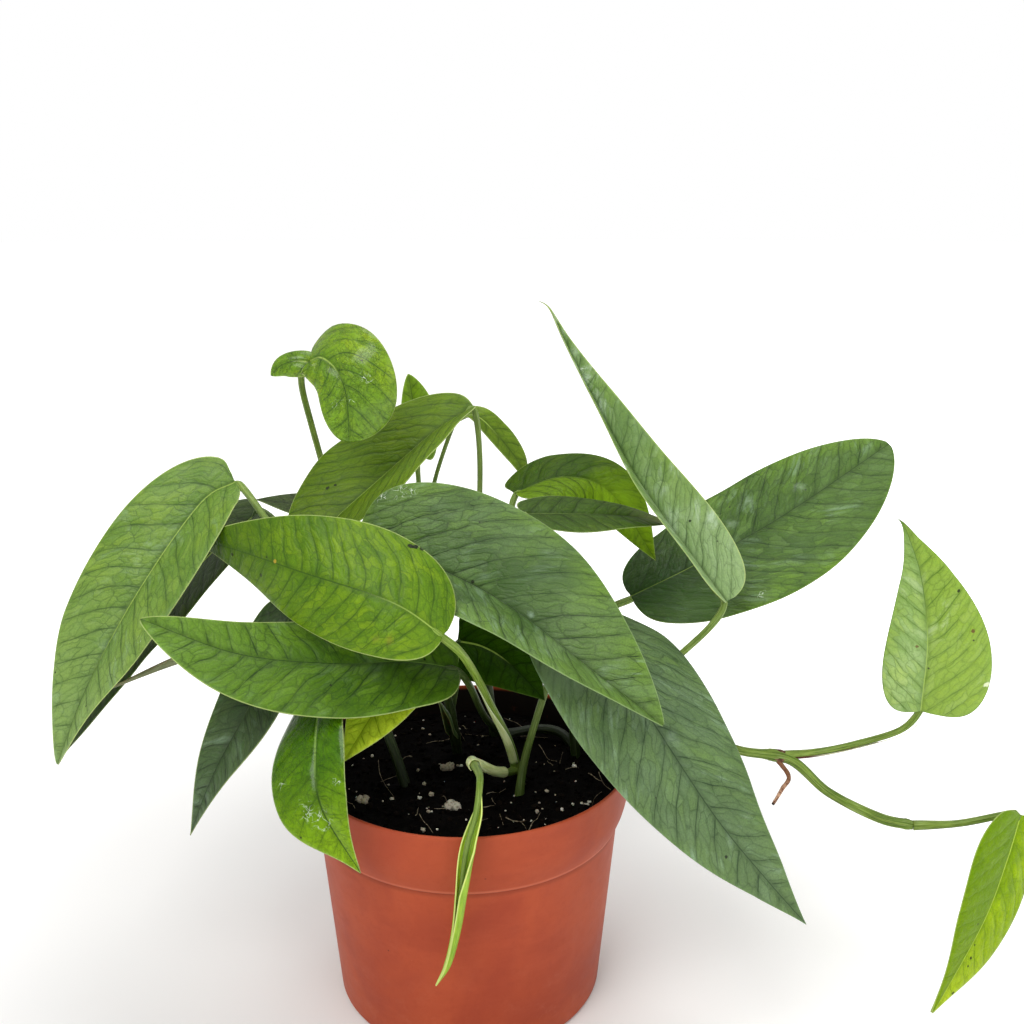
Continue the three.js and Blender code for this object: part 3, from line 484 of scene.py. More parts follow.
# ---------------------------------------------------------------- leaf blades
def blade_fields(leaf, s, t):
    """The middle surface of a blade on the grid s by t, its normal, the flat lengths across and
    along it, and how far its margin is from the rib."""
    path = Path(leaf["rib"])
    centre, ahead = path.at(s), path.along(s)
    first, last = unit(np.array(leaf["face"], float))
    up = first * (1 - s)[:, None] + last * s[:, None]
    up = unit(up - ahead * (up * ahead).sum(1)[:, None])
    across = np.cross(ahead, up)
    foot, tip, drawn = (*leaf["shape"], 0)[:3]
    widest = foot / (foot + tip)
    fullness = (s / widest) ** foot * ((1 - s) / (1 - widest)) ** tip
    width = (fullness * (1 - drawn * smooth(s, 0.6, 1)))[:, None]
    t = t[None, :]
    whole, reach = np.where(t > 0, *leaf["half"]) * width, np.abs(t) * width
    half = whole * np.abs(t)
    fold, bend = math.radians(leaf["fold"]), np.radians(leaf.get("curl", CURL)) * reach
    bend = np.where(np.abs(bend) < 1e-6, -1e-6, bend)
    out = half * (np.sin(fold + bend) - math.sin(fold)) / bend
    rise = half * (math.cos(fold) - np.cos(fold + bend)) / bend
    share = (s / LOBE_AT)[:, None]
    lobe = LOBE * t * t * share * np.exp(1 - share)
    slope = np.where(t == 0, 0, fold + bend)
    a, u, c = across[:, None, :], up[:, None, :], ahead[:, None, :]
    middle = centre[:, None, :] + a * (np.sign(t) * out)[..., None] + u * rise[..., None]
    normal = unit(u * np.cos(slope)[..., None] - a * (np.sign(t) * np.sin(slope))[..., None])
    along = (s * path.length)[:, None] - lobe
    return middle - c * lobe[..., None], normal, np.sign(t) * half, along, whole


def add_blade(build, leaf, vein, seed, fine=1.0):
    """One closed, thin blade with puckered fields between its veins, a groove over the midrib
    and a ridge under it."""
    rings = int(np.clip(Path(leaf["rib"]).length / (0.95 * fine), 40, 150))
    s = 0.004 + 0.992 * (1 - (1 - np.linspace(0, 1, rings)) ** 1.12) ** 1.35
    spread = np.linspace(0, 1, int(np.clip(max(leaf["half"]) / fine, 9, 30)))
    y = np.r_[spread ** 1.25 * 0.972, 1.0]
    t = np.r_[-y[:0:-1], y]
    middle, normal, u, v, whole = blade_fields(leaf, s, t)
    a = np.abs(u)
    waves = [Wander(seed + k, size) for k, size in enumerate((26, 9, 7, 34, 10))]
    lean = vein["slope"] * a + vein["sweep"] * a * a
    flow = v + 2.0 * waves[0](u, v) + 0.5 * waves[4](u, v) - lean
    right, left = flow / vein["spacing"] + 0.15, flow / vein["spacing"] + 0.62
    edge = (1 - np.abs(t))[None, :] * np.maximum(whole, 0.01)
    phase = np.where(t[None, :] > 0, right, left)
    field = np.abs(np.sin(np.pi * phase)) ** 0.8 * smooth(a, 0.6, 5.0) * smooth(edge, 0.0, 3.0)
    lift = vein["pucker"] * (0.75 + 0.35 * waves[1](u, v)) * field
    lift += UNEVEN * waves[2](u, v) * smooth(a, 0.6, 4) * smooth(edge, 0.2, 2.5)
    ripple = waves[3](v, 60 * np.sign(u)) * np.abs(t)[None, :] ** 3
    lift += vein["wave"] * ripple * smooth(s, 0.02, 0.15)[:, None]
    taper = (1 - s)[:, None] ** 0.7
    thick = THICK * smooth(edge, -0.3, 1.2) + EDGE
    groove, ridge = vein["groove"] * hump(a, 0.6) * taper, RIDGE * hump(a, 0.85) * taper
    top = middle + normal * (lift + thick - groove)[..., None]
    under = middle + normal * (lift - thick - ridge)[..., None]
    n_t, other = len(t), len(s) * len(t)
    faces, slots = [], []
    for p in (i * n_t + j for i in range(len(s) - 1) for j in range(n_t - 1)):
        q = p + other
        faces += [(p, p + 1, p + n_t + 1, p + n_t), (q, q + n_t, q + n_t + 1, q + 1)]
        slots += [0, 1]
    rim = [*range(n_t), *range(2 * n_t - 1, other, n_t),
           *range(other - 2, other - n_t - 1, -1), *range(other - 2 * n_t, 0, -n_t)]
    for p, q in zip(rim, rim[1:] + rim[:1]):
        faces.append((q, p, p + other, q + other))
        slots.append(0)

    fields = dict(place=(t, s[:, None], edge), veins=(right, left, a), flat=(u, v, 0))
    build.add(np.stack([top, under]), faces, slots,
              **{name: np.tile(columns(u.shape, *f), (2, 1)) for name, f in fields.items()})


# ---------------------------------------------------------------- materials
def rgb(r, g, b):
    """Linear colour of a screen colour."""
    return tuple(((c / 255 + 0.055) / 1.055) ** 2.4 if c > 10 else c / 255 / 12.92
                 for c in (r, g, b)) + (1.0,)


def blend(linear, screen, share):
    return tuple(c * (1 - share) + k * share for c, k in zip(linear, rgb(*screen)))


class Net:
    """A material's node tree, built by short calls that each return an output socket. colour is
    the tone so far, which paint starts and tint adds to."""

    def __init__(self, name, **plain):
        self.material = bpy.data.materials.new(name)
        self.material.use_nodes = True
        self.tree = self.material.node_tree
        self.shader = next(n for n in self.tree.nodes if n.type == "BSDF_PRINCIPLED")
        for socket, value in plain.items():
            self.shader.inputs[socket.replace("_", " ")].default_value = value
        self.mm = self.aim("SCALE", self.put("TexCoord", out="Object"), scale=1 / MM)

    def put(self, kind, inputs=(), out=0, **settings):
        node = self.tree.nodes.new("ShaderNode" + kind)
        for k, v in settings.items():
            setattr(node, k, v)
        for key, value in dict(inputs).items():
            if isinstance(value, bpy.types.NodeSocket):
                self.tree.links.new(value, node.inputs[key])
            elif value is not None:
                node.inputs[key].default_value = value
        return node.outputs[out]

    def calc(self, operation, a, b=None):
        return self.put("Math", {0: a, 1: b}, operation=operation)

    def times(self, *values):
        return reduce(partial(self.calc, "MULTIPLY"), values)

    def plus(self, *values):
        return reduce(partial(self.calc, "ADD"), values)

    def off_half(self, value):
        """How far a value is from a half."""
        return self.calc("ABSOLUTE", self.calc("SUBTRACT", value, 0.5))

    def aim(self, operation, a, b=None, scale=None, out="Vector"):
        return self.put("VectorMath", {0: a, 1: b, "Scale": scale}, out, operation=operation)

    def step(self, value, low, high, to_low=0, to_high=1):
        return self.put("MapRange", {"Value": value, "From Min": low, "From Max": high,
                                     "To Min": to_low, "To Max": to_high},
                        interpolation_type="SMOOTHSTEP")

    def between(self, share, a, b):
        return self.put("Mix", {0: share, 2: a, 3: b}, data_type="FLOAT")

    def mix(self, share, *tones):
        a, b = (rgb(*t) if isinstance(t, tuple) and len(t) == 3 else t for t in tones)
        return self.put("Mix", {0: share, 6: a, 7: b}, 2, data_type="RGBA")

    def paint(self, share, a, b):
        self.colour = self.mix(share, a, b)

    def tint(self, tone, *shares):
        self.colour = self.mix(self.times(*shares), self.colour, tone)

    def split(self, vector):
        return list(self.put("SeparateXYZ", {0: vector}).node.outputs)

    def field(self, name):
        return self.split(self.put("Attribute", out="Vector", attribute_name=name))

    def vector(self, x, y, z=0):
        return self.put("CombineXYZ", {0: x, 1: y, 2: z})

    def noise(self, size, detail=3, rough=0.55, distort=0, where=None):
        return self.put("TexNoise", {"Vector": where or self.mm, "Scale": 1 / size,
                                     "Detail": detail, "Roughness": rough, "Distortion": distort})

    def cells(self, where, size, feature="DISTANCE_TO_EDGE", dims="2D", out=0):
        return self.put("TexVoronoi", {"Vector": where, "Scale": 1 / size}, out,
                        feature=feature, voronoi_dimensions=dims)

    def lot(self, where, size, dims="2D"):
        """A random number for each cell."""
        return self.put("SeparateColor", {0: self.cells(where, size, "F1", dims, "Color")})

    def specks(self, tone, size, wide, narrow, clear, strength):
        """Round specks in the middle of cells, but for the share of the cells that stays clear."""
        spot = self.step(self.cells(self.mm, size, "F1", "3D"), wide, narrow)
        drawn = self.calc("GREATER_THAN", self.lot(self.mm, size, "3D"), clear)
        self.tint(tone, spot, drawn, strength)

    def bump(self, height, distance, strength=1):
        return self.put("Bump", {"Height": height, "Distance": distance * MM,
                                 "Strength": strength})

    def join(self, **sockets):
        for name, value in {"Base_Color": self.colour, **sockets}.items():
            self.tree.links.new(value, self.shader.inputs[name.replace("_", " ")])
        return self.material

    def matt(self, height, distance, low, high, size=1, detail=3):
        """Ends a dull skin: bumps, and a roughness between low and high in clouds of a size."""
        rough = self.step(self.noise(size, detail), 0.3, 0.7, low, high)
        return self.join(Normal=self.bump(height, distance), Roughness=rough)


FINE_CELL = 1.25


def leaf_skin(name, look, upper=True):
    """The skin of a blade: side veins that sweep towards the tip, a net of finer veins between
    them, a pale thin margin, a midrib that fades, blotches, specks, old scars, painted sheen and
    painted glints."""
    if not upper:
        look = {**look, **UNDER, "contrast": look["contrast"] / 2}
    n = Net(name, Specular_IOR_Level=look["spec"], Coat_Weight=look["gloss"],
            Coat_Roughness=0.16, Subsurface_Weight=look["thin"], Subsurface_Scale=0.003,
            Subsurface_Radius=(0.35, 0.8, 0.1))
    (t, s, edge), (right, left, a), (u, v, _) = map(n.field, ("place", "veins", "flat"))
    spacing, cell, depth = look["veins"]["spacing"], look["cell"], look["contrast"]
    turned = n.calc("GREATER_THAN", t, 0)
    phase = n.between(turned, left, right)
    off = n.times(n.off_half(n.calc("FRACT", n.plus(phase, 0.5))), spacing * 0.86)
    off = n.plus(off, n.times(n.calc("SUBTRACT", n.noise(5, 2), 0.5), 0.7))
    wide = n.between(n.calc("ABSOLUTE", t), 0.36, 0.2)
    line = n.step(off, wide, n.times(wide, 0.3))
    # the net: cells laid out along and across the side veins
    shake = n.put("TexNoise", {"Vector": n.mm, "Scale": 1 / 8, "Detail": 3}, "Color")
    shake = n.aim("SCALE", n.aim("SUBTRACT", shake, (0.5, 0.5, 0.5)), scale=6.5)
    grid = n.vector(n.times(n.plus(phase, n.times(turned, 37)), spacing), n.times(a, 0.85))
    grid = n.aim("ADD", grid, shake)
    net_off = n.times(n.cells(grid, cell), cell)
    fine_off = n.times(n.cells(grid, FINE_CELL), FINE_CELL)
    lot, small_lot = n.lot(grid, cell), n.lot(grid, FINE_CELL)
    grit = n.noise(0.55, 2, 0.7)
    patch = n.step(n.noise(12), 0.32, 0.66)
    inner = n.times(n.step(edge, 0.2, 2.4), n.step(a, 0.1, 1.2))
    line, net, fine = (n.times(drawn, inner, n.between(patch, low, high)) for drawn, low, high in
                       ((line, 0.65, 1), (n.step(net_off, 0.19, 0.04), 0.2, 1),
                        (n.step(fine_off, 0.14, 0.03), 0.1, 0.6)))
    # colour
    main, second, vein_tone, tip, warm, pale = (
        rgb(*look[k]) for k in ("main", "second", "vein", "tip", "warm", "pale"))
    if not upper:
        main = tip = warm = blend(main, (168, 182, 120), 0.28)
        second = blend(second, (160, 174, 115), 0.25)
        vein_tone = blend(second, (150, 165, 100), 0.4)
    n.paint(n.step(n.noise(14, 4, 0.6, 0.5), 0.34, 0.66), main, second)
    n.tint(warm, n.step(n.noise(20), 0.35, 0.7), n.step(a, 1, 9), n.between(lot, 0.25, 1), 0.75)
    n.tint(warm, n.step(lot, 0.45, 1), 0.3)
    n.tint(second, n.step(small_lot, 0.5, 1), 0.3)
    n.tint(tip, n.step(s, 0.35, 1), 0.75)
    if look["rim_warm"]:
        n.tint(warm, n.step(edge, 9, 1.5), n.step(n.noise(17), 0.35, 0.6), look["rim_warm"])
    # a tone at the foot and one on the half right of the rib; on some leaves these are painted
    # shade or painted light
    if look["base"]:
        n.tint(look["base"], n.step(s, 0.45, 0.1), 0.85)
    if look["side"]:
        n.tint(look["side"], n.step(t, -0.05, 0.05), 0.8)
    n.tint(second, n.step(n.noise(1.3, 3, 0.7), 0.3, 0.75, 0, 0.2))
    n.tint(vein_tone, n.step(off, 1.7, 0), 0.26 * depth)
    n.tint(vein_tone, n.step(net_off, 0.8, 0), 0.2 * depth)
    # painted sheen: pale grey-green veils between the side veins where light reflects, and some
    # lighter cells
    if look["silver"]:
        along, start = n.vector(n.times(phase, spacing * 0.9), n.times(a, 0.6)), look["veil_at"]
        veil = n.times(n.step(n.noise(5.5, 4, 0.6, 0.6, along), start, start + 0.22),
                       n.step(n.noise(17, 2), 0.46, 0.62, 0.1, 1), n.step(off, 0.2, 1.6, 0.4, 1))
        n.tint(look["veil"], n.plus(veil, n.step(lot, 0.8, 0.9, 0, 0.14)), look["silver"])
    n.tint(vein_tone, n.step(grit, 0.42, 0.7, 0, 0.24 * depth))
    n.tint(warm, n.step(grit, 0.45, 0.28, 0, 0.2))
    for drawn, strength in ((fine, 0.32), (net, 0.5), (line, 0.85)):
        n.tint(vein_tone, drawn, strength * depth)
    n.tint(vein_tone, n.step(a, 2.2, 0.3), 0.35 * depth)
    rib_wide, fade = n.between(s, look["rib"], 0.2), look["rib_fade"]
    rib_tone = n.mix(n.step(s, fade, fade + 0.3), pale, vein_tone if upper else pale)
    n.tint(rib_tone, n.step(a, rib_wide, n.times(rib_wide, 0.4)), 0.8)
    n.tint(look["margin"], n.step(edge, 0.42, 0.12), look["rim"])
    n.specks((24, 22, 12), 7, 0.07, 0.04, 0.74, 0.85)
    wear = n.noise(3, 4, 0.7, where=n.vector(n.times(u, 0.25), v))
    n.tint((170, 186, 130), n.step(wear, 0.64, 0.8), 0.1)
    # glints are painted highlights in crinkled white lines; marks tint the blade with the colours
    # listed with them
    squiggle = n.step(n.off_half(n.noise(3.2, 2, 0.5, 0.8)), 0.022, 0.006)
    for at_u, at_v, size, *mark in [*look["marks"], *look["glints"]]:
        far = n.aim("DISTANCE", n.vector(u, v), (at_u, at_v, 0), out="Value")
        ragged = n.calc("SUBTRACT", n.noise(max(1.6, size * 0.6)), 0.5)
        spot = n.step(n.plus(far, n.times(ragged, size * 1.6)), size,
                      size * (0.6 if size < 1.5 else -0.4))
        if mark:
            n.tint(mark[0], spot, mark[1])
        else:
            n.tint((232, 244, 224), spot, squiggle, 0.9)
    height = [n.times(n.step(net_off, 0, 1), 0.5), n.times(n.step(fine_off, 0, 0.45), 0.2)]
    if look["wrinkle"]:
        crease = n.step(n.off_half(n.noise(4.5, 3, 0.6, 1.6)), 0, 0.06)
        height.append(n.times(crease, look["wrinkle"]))
    height += [n.times(n.step(off, 0, 1.5), 0.7), n.times(n.noise(3, 3, 0.6), 0.6)]
    rough = n.between(n.noise(6), look["rough"] - 0.08, look["rough"] + 0.12)
    rough = n.plus(rough, n.times(line, 0.1), *([] if upper else [0.15]))
    return n.join(Roughness=rough, Normal=n.bump(n.plus(*height), look["relief"], 0.8))


def stem_skin(name, main, second, dark, foot=0):
    """Green stem or stalk: long pale and dark streaks, fine ridges, faint blotches, brown specks.
    foot is how much darker it gets down by the soil, as soil on it and as painted shade."""
    n = Net(name, Specular_IOR_Level=0.3, Subsurface_Weight=0.05, Subsurface_Scale=0.003)
    c, d, length = n.field("place")
    long = n.vector(n.times(c, 2.6), n.times(d, 2.6), n.times(length, 0.035))
    streak, lines = n.noise(0.8, 5, 0.65, where=long), n.noise(0.32, 3, 0.6, where=long)
    n.paint(n.step(streak, 0.38, 0.62), main, second)
    n.tint(dark, n.step(lines, 0.5, 0.64, 0, 0.75))
    n.tint(blend(rgb(*second), (206, 216, 168), 0.4), n.step(lines, 0.46, 0.36, 0, 0.5))
    n.tint(dark, n.step(n.noise(9), 0.4, 0.75, 0, 0.35))
    n.tint((112, 92, 50), n.step(n.noise(0.8, 2, 0.7), 0.7, 0.77), 0.4)
    if foot:
        # darker near the soil: soil on the stem and painted shade
        soiled_and_shaded = tuple(k * 0.22 for k in rgb(*dark)[:3]) + (1,)
        n.tint(soiled_and_shaded, n.step(n.split(n.mm)[2], 128, SOIL_TOP), foot)
    height = n.plus(n.times(streak, 1.2), n.times(lines, 0.5), n.times(n.noise(0.9, 2), 0.2))
    return n.join(Normal=n.bump(height, 0.22, 0.9), Roughness=n.between(n.noise(3), 0.34, 0.54))


def sheet_skin(name, outer, inner, margin, wide, coat=0.1):
    """The skin of a rolled sheet: another tone inside than outside, and pale margins."""
    n = Net(name, Specular_IOR_Level=0.35, Coat_Weight=coat, Coat_Roughness=0.25,
            Subsurface_Weight=0.1, Subsurface_Scale=0.003)
    (edge, inside, _), (length, angle, _) = n.field("place"), n.field("flat")
    lines = n.noise(1, 4, 0.6, where=n.vector(n.times(angle, 2.4), n.times(length, 0.12)))
    soft, share = n.noise(5), n.step(lines, 0.35, 0.65)
    n.paint(inside, n.mix(share, *outer), n.mix(share, *inner))
    n.tint(inner[1], n.step(soft, 0.5, 0.8, 0, 0.35))
    n.tint(margin, n.step(edge, wide, wide * 0.3), 0.85)
    return n.join(Normal=n.bump(n.plus(lines, n.times(n.noise(1.5), 0.4)), 0.14, 0.8),
                  Roughness=n.between(soft, 0.36, 0.54))


def root_skin():
    n = Net("root_bark", Specular_IOR_Level=0.25)
    share = n.field("flat")[2]
    n.paint(n.step(share, 0.35, 0.85), (128, 88, 60), (206, 164, 134))
    n.tint((104, 66, 46), n.step(n.noise(1.5, 4, 0.7), 0.45, 0.62))
    n.tint((44, 26, 16), n.step(share, 0.95, 0.985))
    return n.matt(n.noise(0.7, 3, 0.7), 0.25, 0.6, 0.9)


def dry_skin():
    """Dry sheath: dark where it leaves the stem, paler and thinner towards its end."""
    n = Net("dry_sheath", Specular_IOR_Level=0.25, Subsurface_Weight=0.1, Subsurface_Scale=0.002)
    n.paint(n.step(n.field("flat")[2], 0.16, 0.3), (84, 48, 40), (206, 208, 178))
    n.tint((120, 84, 62), n.step(n.noise(2, 4, 0.7), 0.5, 0.75, 0, 0.5))
    return n.matt(n.noise(0.8, 3, 0.7), 0.2, 0.6, 0.9)


def fibre_skin(name, one, two):
    n = Net(name, Specular_IOR_Level=0.3)
    n.paint(n.step(n.noise(1.6), 0.35, 0.65), one, two)
    return n.matt(n.noise(0.5, 3, 0.7), 0.2, 0.65, 0.9)


def soil_skin():
    n = Net("potting_mix", Specular_IOR_Level=0.03)
    n.paint(n.step(n.noise(3.5, 5, 0.7), 0.35, 0.7), (4, 3, 3), (11, 8, 7))
    n.tint((24, 18, 14), n.step(n.noise(1.1, 4, 0.7), 0.6, 0.8, 0, 0.6))
    height = n.plus(n.noise(2, 5, 0.75), n.times(n.noise(0.6), 0.5))
    return n.matt(height, 0.7, 0.72, 0.98, 4, 2)


def crumb_skin():
    n = Net("peat_crumbs", Specular_IOR_Level=0.03)
    n.paint(n.step(n.field("flat")[0], 0.2, 0.95), (4, 3, 3), (18, 13, 10))
    n.tint((32, 24, 18), n.step(n.noise(0.9), 0.5, 0.8, 0, 0.5))
    return n.matt(n.noise(0.5), 0.2, 0.7, 0.95, 2)


def perlite_skin():
    n = Net("perlite", Specular_IOR_Level=0.3, Subsurface_Weight=0.1, Subsurface_Scale=0.001)
    n.paint(n.step(n.field("flat")[0], 0.1, 0.9), (226, 222, 208), (168, 158, 140))
    n.tint((92, 78, 62), n.step(n.noise(0.8, 4, 0.7), 0.46, 0.66, 0, 0.8))
    return n.matt(n.noise(0.4), 0.25, 0.75, 0.95)


def pot_skin():
    """Terracotta coloured plastic: faint clouds and flow marks, scuffs, specks, a dusty foot, a
    painted highlight and painted shade at the collar, and inside a film of soil darkened as painted
    shade."""
    n = Net("terracotta_plastic", Specular_IOR_Level=0.2)
    x, y, z = n.split(n.mm)
    flow = n.noise(7, 4, 0.6, where=n.vector(n.times(x, 0.25), n.times(y, 0.25), z))
    mottle = n.noise(2.6, 4, 0.7)
    n.paint(n.step(n.noise(34, 3, 0.55, 0.6), 0.3, 0.7), (173, 75, 42), (157, 63, 37))
    n.tint((180, 80, 48), n.step(flow, 0.45, 0.72, 0, 0.35))
    n.tint((140, 50, 28), n.step(mottle, 0.45, 0.75, 0, 0.22))
    n.tint((186, 104, 76), n.step(n.noise(10, 5, 0.75), 0.5, 0.8), n.step(z, 40, 2, 0.12, 0.4))
    n.specks((84, 34, 20), 8, 0.05, 0.03, 0.62, 0.75)
    # the collar is a little darker, with a painted highlight line at its lower edge and painted
    # shade just below it
    n.tint((140, 58, 32), n.step(z, COLLAR_Z - 0.4, COLLAR_Z + 6, 0, 0.16))
    n.tint((214, 128, 98), n.step(z, COLLAR_Z - 0.2, COLLAR_Z + 0.3),
           n.step(z, COLLAR_Z + 1.3, COLLAR_Z + 0.6), 0.35)
    n.tint((112, 44, 26), n.step(z, COLLAR_Z - 2.6, COLLAR_Z - 0.8),
           n.step(z, COLLAR_Z + 0.2, COLLAR_Z - 0.3), 0.4)
    round_it = n.vector(n.times(n.calc("ARCTAN2", y, x), 14), n.times(z, 0.7))
    n.tint((204, 124, 92), n.step(n.noise(1, 5, 0.78, where=round_it), 0.66, 0.74, 0, 0.22))
    # inside the pot: a film of soil, darkened almost to black as painted shade
    facing = n.put("NewGeometry", out="True Normal")
    outward = n.aim("DOT_PRODUCT", facing, n.vector(x, y), out="Value")
    inside = n.times(n.calc("LESS_THAN", outward, -10),
                     n.step(z, POT_HEIGHT - 0.5, POT_HEIGHT - 2))
    n.tint((20, 10, 7), inside, n.step(n.noise(3, 4, 0.7), 0.2, 0.42, 0.8, 1))
    height = n.plus(n.times(flow, 0.9), n.times(mottle, 0.35), n.times(n.noise(0.5), 0.2))
    return n.join(Roughness=n.between(n.noise(7, 4, 0.65), 0.42, 0.6),
                  Normal=n.bump(height, 0.14, 0.7))


# ---------------------------------------------------------------- leaves and vines
def root_point(root):
    return Path(VINES[root[0]]["path"]).at(root[1]) if isinstance(root[0], str) else root


def stalk_way(leaf):
    """The stalk from its vine to the blade, going on under the blade as the start of its rib, and
    the share of it where the blade starts."""
    middle, normal = blade_fields(leaf, np.array([0.005, 0.06, 0.15]), np.array([0.0]))[:2]
    low = np.array([0.8 * leaf["girth"], 0.85 * leaf["girth"], 0.75])
    under = middle[:, 0] - normal[:, 0] * low[:, None]
    path = Path([root_point(leaf["root"]), *leaf["stalk"], *under])
    return path, 1 - 0.15 * Path(leaf["rib"]).length / path.length


def leaf_piece(name, leaf, look, seed):
    build = Build("place", "veins", "flat")
    add_blade(build, leaf, look["veins"], seed, 1.0 if max(leaf["half"]) > 15 else 0.8)
    if name == "leaf_top_curled":
        add_blade(build, CURLED_LOBE, VEINS, seed + 5, 0.6)
    path, blade_at = stalk_way(leaf)
    girth = leaf["girth"]

    def radius(share):
        slim = smooth(share, 0, 0.45 * blade_at)
        base = girth * (STALK_FOOT - (STALK_FOOT - STALK_TOP) * slim)
        knee = 1 + 0.08 * hump((share - blade_at * 0.93) * path.length, 4)
        return base * knee * (1 - 0.7 * smooth(share, blade_at * 0.97, 1))

    def section(angle, share):
        channel = hump(angle - 1.9, 0.5) + 0.5 * hump(angle - 4.4, 0.4)
        return 1 - 0.1 * channel * smooth(share, 0.02, 0.2)

    add_tube(build, path, radius, 2, sides=16, step=1.1, section=section)
    materials = [leaf_skin(name + "_top", look), leaf_skin(name + "_under", look, upper=False),
                 STEMS[look["stem"]]]
    if name == "leaf_front_light":
        materials.append(SHEATH)
        add_gutter(build, path, lambda s: girth * (1.22 - 0.25 * smooth(s, 0.1, 0.5)),
                   lambda s: 2.2 + 3.2 * smooth(s, 0.15, 0.52), (1.0, 0.35, 0.1), 3, thick=0.25,
                   start=0.05, end=0.5)
    if name == "leaf_vine_upper":
        materials.append(DRY_SHEATH)
        add_gutter(build, path, lambda s: girth * 1.25, lambda s: 4 + 1.3 * smooth(s, 0.1, 0.55),
                   (0.1, 0.2, 1.0), 3, thick=0.2, start=0.06, end=0.55)
        hair = Path([path.at(0.5) - (0, 0, 2), path.at(0.72) - (0, 0, 3.2),
                     path.at(0.86) - (-1, 0, 4.6)])
        add_tube(build, hair, lambda s: 0.14, 3, sides=5, step=2.0)
    build.fine(name, materials, look["slot"])


def vine_piece(name, stem, girth, path):
    """A vine with a swollen, ringed node where each stalk or shoot leaves it."""
    path, build = Path(path), Build("place", "flat")
    nodes = [item["root"][1] for item in [*LEAVES.values(), *ROLLED.values()]
             if item["root"][0] == name]

    def radius(share):
        r = girth * (0.92 + 0.05 * math.sin(share * path.length / 7))
        for at in nodes:
            far = (share - at) * path.length
            r *= 1 + 0.16 * hump(far, 2.6) + 0.1 * hump(far - 3.2, 0.45)
            r *= 1 + 0.08 * hump(far + 3, 0.4)
        return r * (1 - 0.25 * smooth(share, 0.985, 1))

    add_tube(build, path, radius, 0, sides=32, step=0.7, section=lambda angle, share:
             1 - 0.05 * np.cos(3 * angle + 2.2 * share) - 0.045 * np.cos(8 * angle))
    if name == "vine_trailing":
        scar = 0.625
        add_tube(build, path, lambda s: girth * (1.22 - 9 * abs(s - scar)), 1, sides=20,
                 step=0.4, start=scar - 0.012, end=scar + 0.012,
                 section=lambda a, s: 1 + 0.1 * np.sin(3 * a + 40 * s) + 0.06 * np.sin(7 * a))
    if name == "vine_front":
        add_gutter(build, path, lambda s: girth * (1.15 + 0.16 * smooth(s, 0.7, 0.52)),
                   lambda s: 0.8, (0.3, 0.6, -0.8), 2, thick=0.3, step=0.6, start=0.54, end=0.998)
    build.fine(name, [STEMS[stem], SCAR, SHEATH], "old_stem" if stem == "dark" else "green_stem")


# ---------------------------------------------------------------- pot
def pot_piece():
    """The moulded pot: half its section, turned, with holes drilled through its floor."""
    shoulder = COLLAR_Z + COLLAR_FLARE
    wall = np.linspace((HEEL_RADIUS, HEEL_HEIGHT + 0.3), (BODY_TOP, COLLAR_Z - 1.6), 17)[1:-1]
    # corner by corner from the middle of the base, outside and in again: (from, offsets)
    section = [((BASE_RADIUS, 0), [(-6, 0), (-0.6, 0), (0.2, 0.1), (0.9, 0.55)]),
               ((HEEL_RADIUS, HEEL_HEIGHT), [(-0.08, -0.35), (0, 0.3)]), ((0, 0), wall),
               ((BODY_TOP, COLLAR_Z), [(0, -1.4), (0, -0.75), (0.02, -0.45)]),
               ((COLLAR_FOOT, COLLAR_Z), [(-0.1, -0.1), (0.06, 0.2), (0.3, 0.9), (1.1, 2.6),
                                          (2, 5), (2.7, 7.6), (3.2, 10.2)]),
               ((RIM_RADIUS, shoulder), [(-0.4, 0), (-0.25, 4)]),
               ((RIM_RADIUS, POT_HEIGHT), [(-0.12, -2.6), (-0.02, -1.5), (0, -0.95),
                                           (-0.08, -0.42), (-0.32, -0.1), (-0.62, 0),
                                           (-0.9, -0.08), (-1.1, -0.36), (-WALL, -1)]),
               ((RIM_RADIUS - WALL, shoulder), [(-0.4, 0)]),
               ((COLLAR_FOOT - WALL, COLLAR_Z), [(2, 5)]), ((BODY_TOP - WALL, COLLAR_Z), [(0, -1)]),
               ((HEEL_RADIUS - WALL, HEEL_HEIGHT), [(0, 0.5)]), ((BASE_RADIUS, WALL), [(-0.6, 0)])]
    turned = [circle(r + dr, z + dz, POT_SEGMENTS)
              for (r, z), offsets in section for dr, dz in offsets]
    build = Build()
    build.add(np.vstack([(0, 0, 0), *turned, (0, 0, WALL)]),
              [face[::-1] for face in fan_faces(len(turned), POT_SEGMENTS)])
    ob = build.piece("pot_moulded", [pot_skin()], "pot_plastic", node="pot")
    drill = Build()
    for k in range(DRAIN_HOLES):
        angle = TURN * (k + 0.5) / DRAIN_HOLES
        centre = (DRAIN_CIRCLE * math.cos(angle), DRAIN_CIRCLE * math.sin(angle), 0)
        drill.add([circle(DRAIN_RADIUS, z, 32) + centre for z in (-3, 3)], ring_faces(2, 32))
    cutter = put_mesh("drill", drill.points, drill.faces)
    cut = ob.modifiers.new("drain", "BOOLEAN")
    cut.operation, cut.object, cut.solver = "DIFFERENCE", cutter, "EXACT"
    with bpy.context.temp_override(object=ob, active_object=ob, selected_objects=[ob]):
        bpy.ops.object.modifier_apply(modifier=cut.name)
    bpy.data.objects.remove(cutter)
    ob.data.set_sharp_from_angle(angle=math.radians(28))


# ---------------------------------------------------------------- soil
SOIL_LUMPS = [(1.0, Wander(71, 17)), (0.55, Wander(72, 6)), (0.3, Wander(73, 2.6))]


def soil_height(x, y):
    r = np.hypot(x, y)
    lump = sum(size * wave(x, y) for size, wave in SOIL_LUMPS)
    crown = SOIL_CROWN * np.clip(1 - r / 52, 0, 1)
    return SOIL_TOP - 0.6 + crown + lump * smooth(57.6 - r, -0.5, 6) - 0.8 * smooth(r, 50, 57)


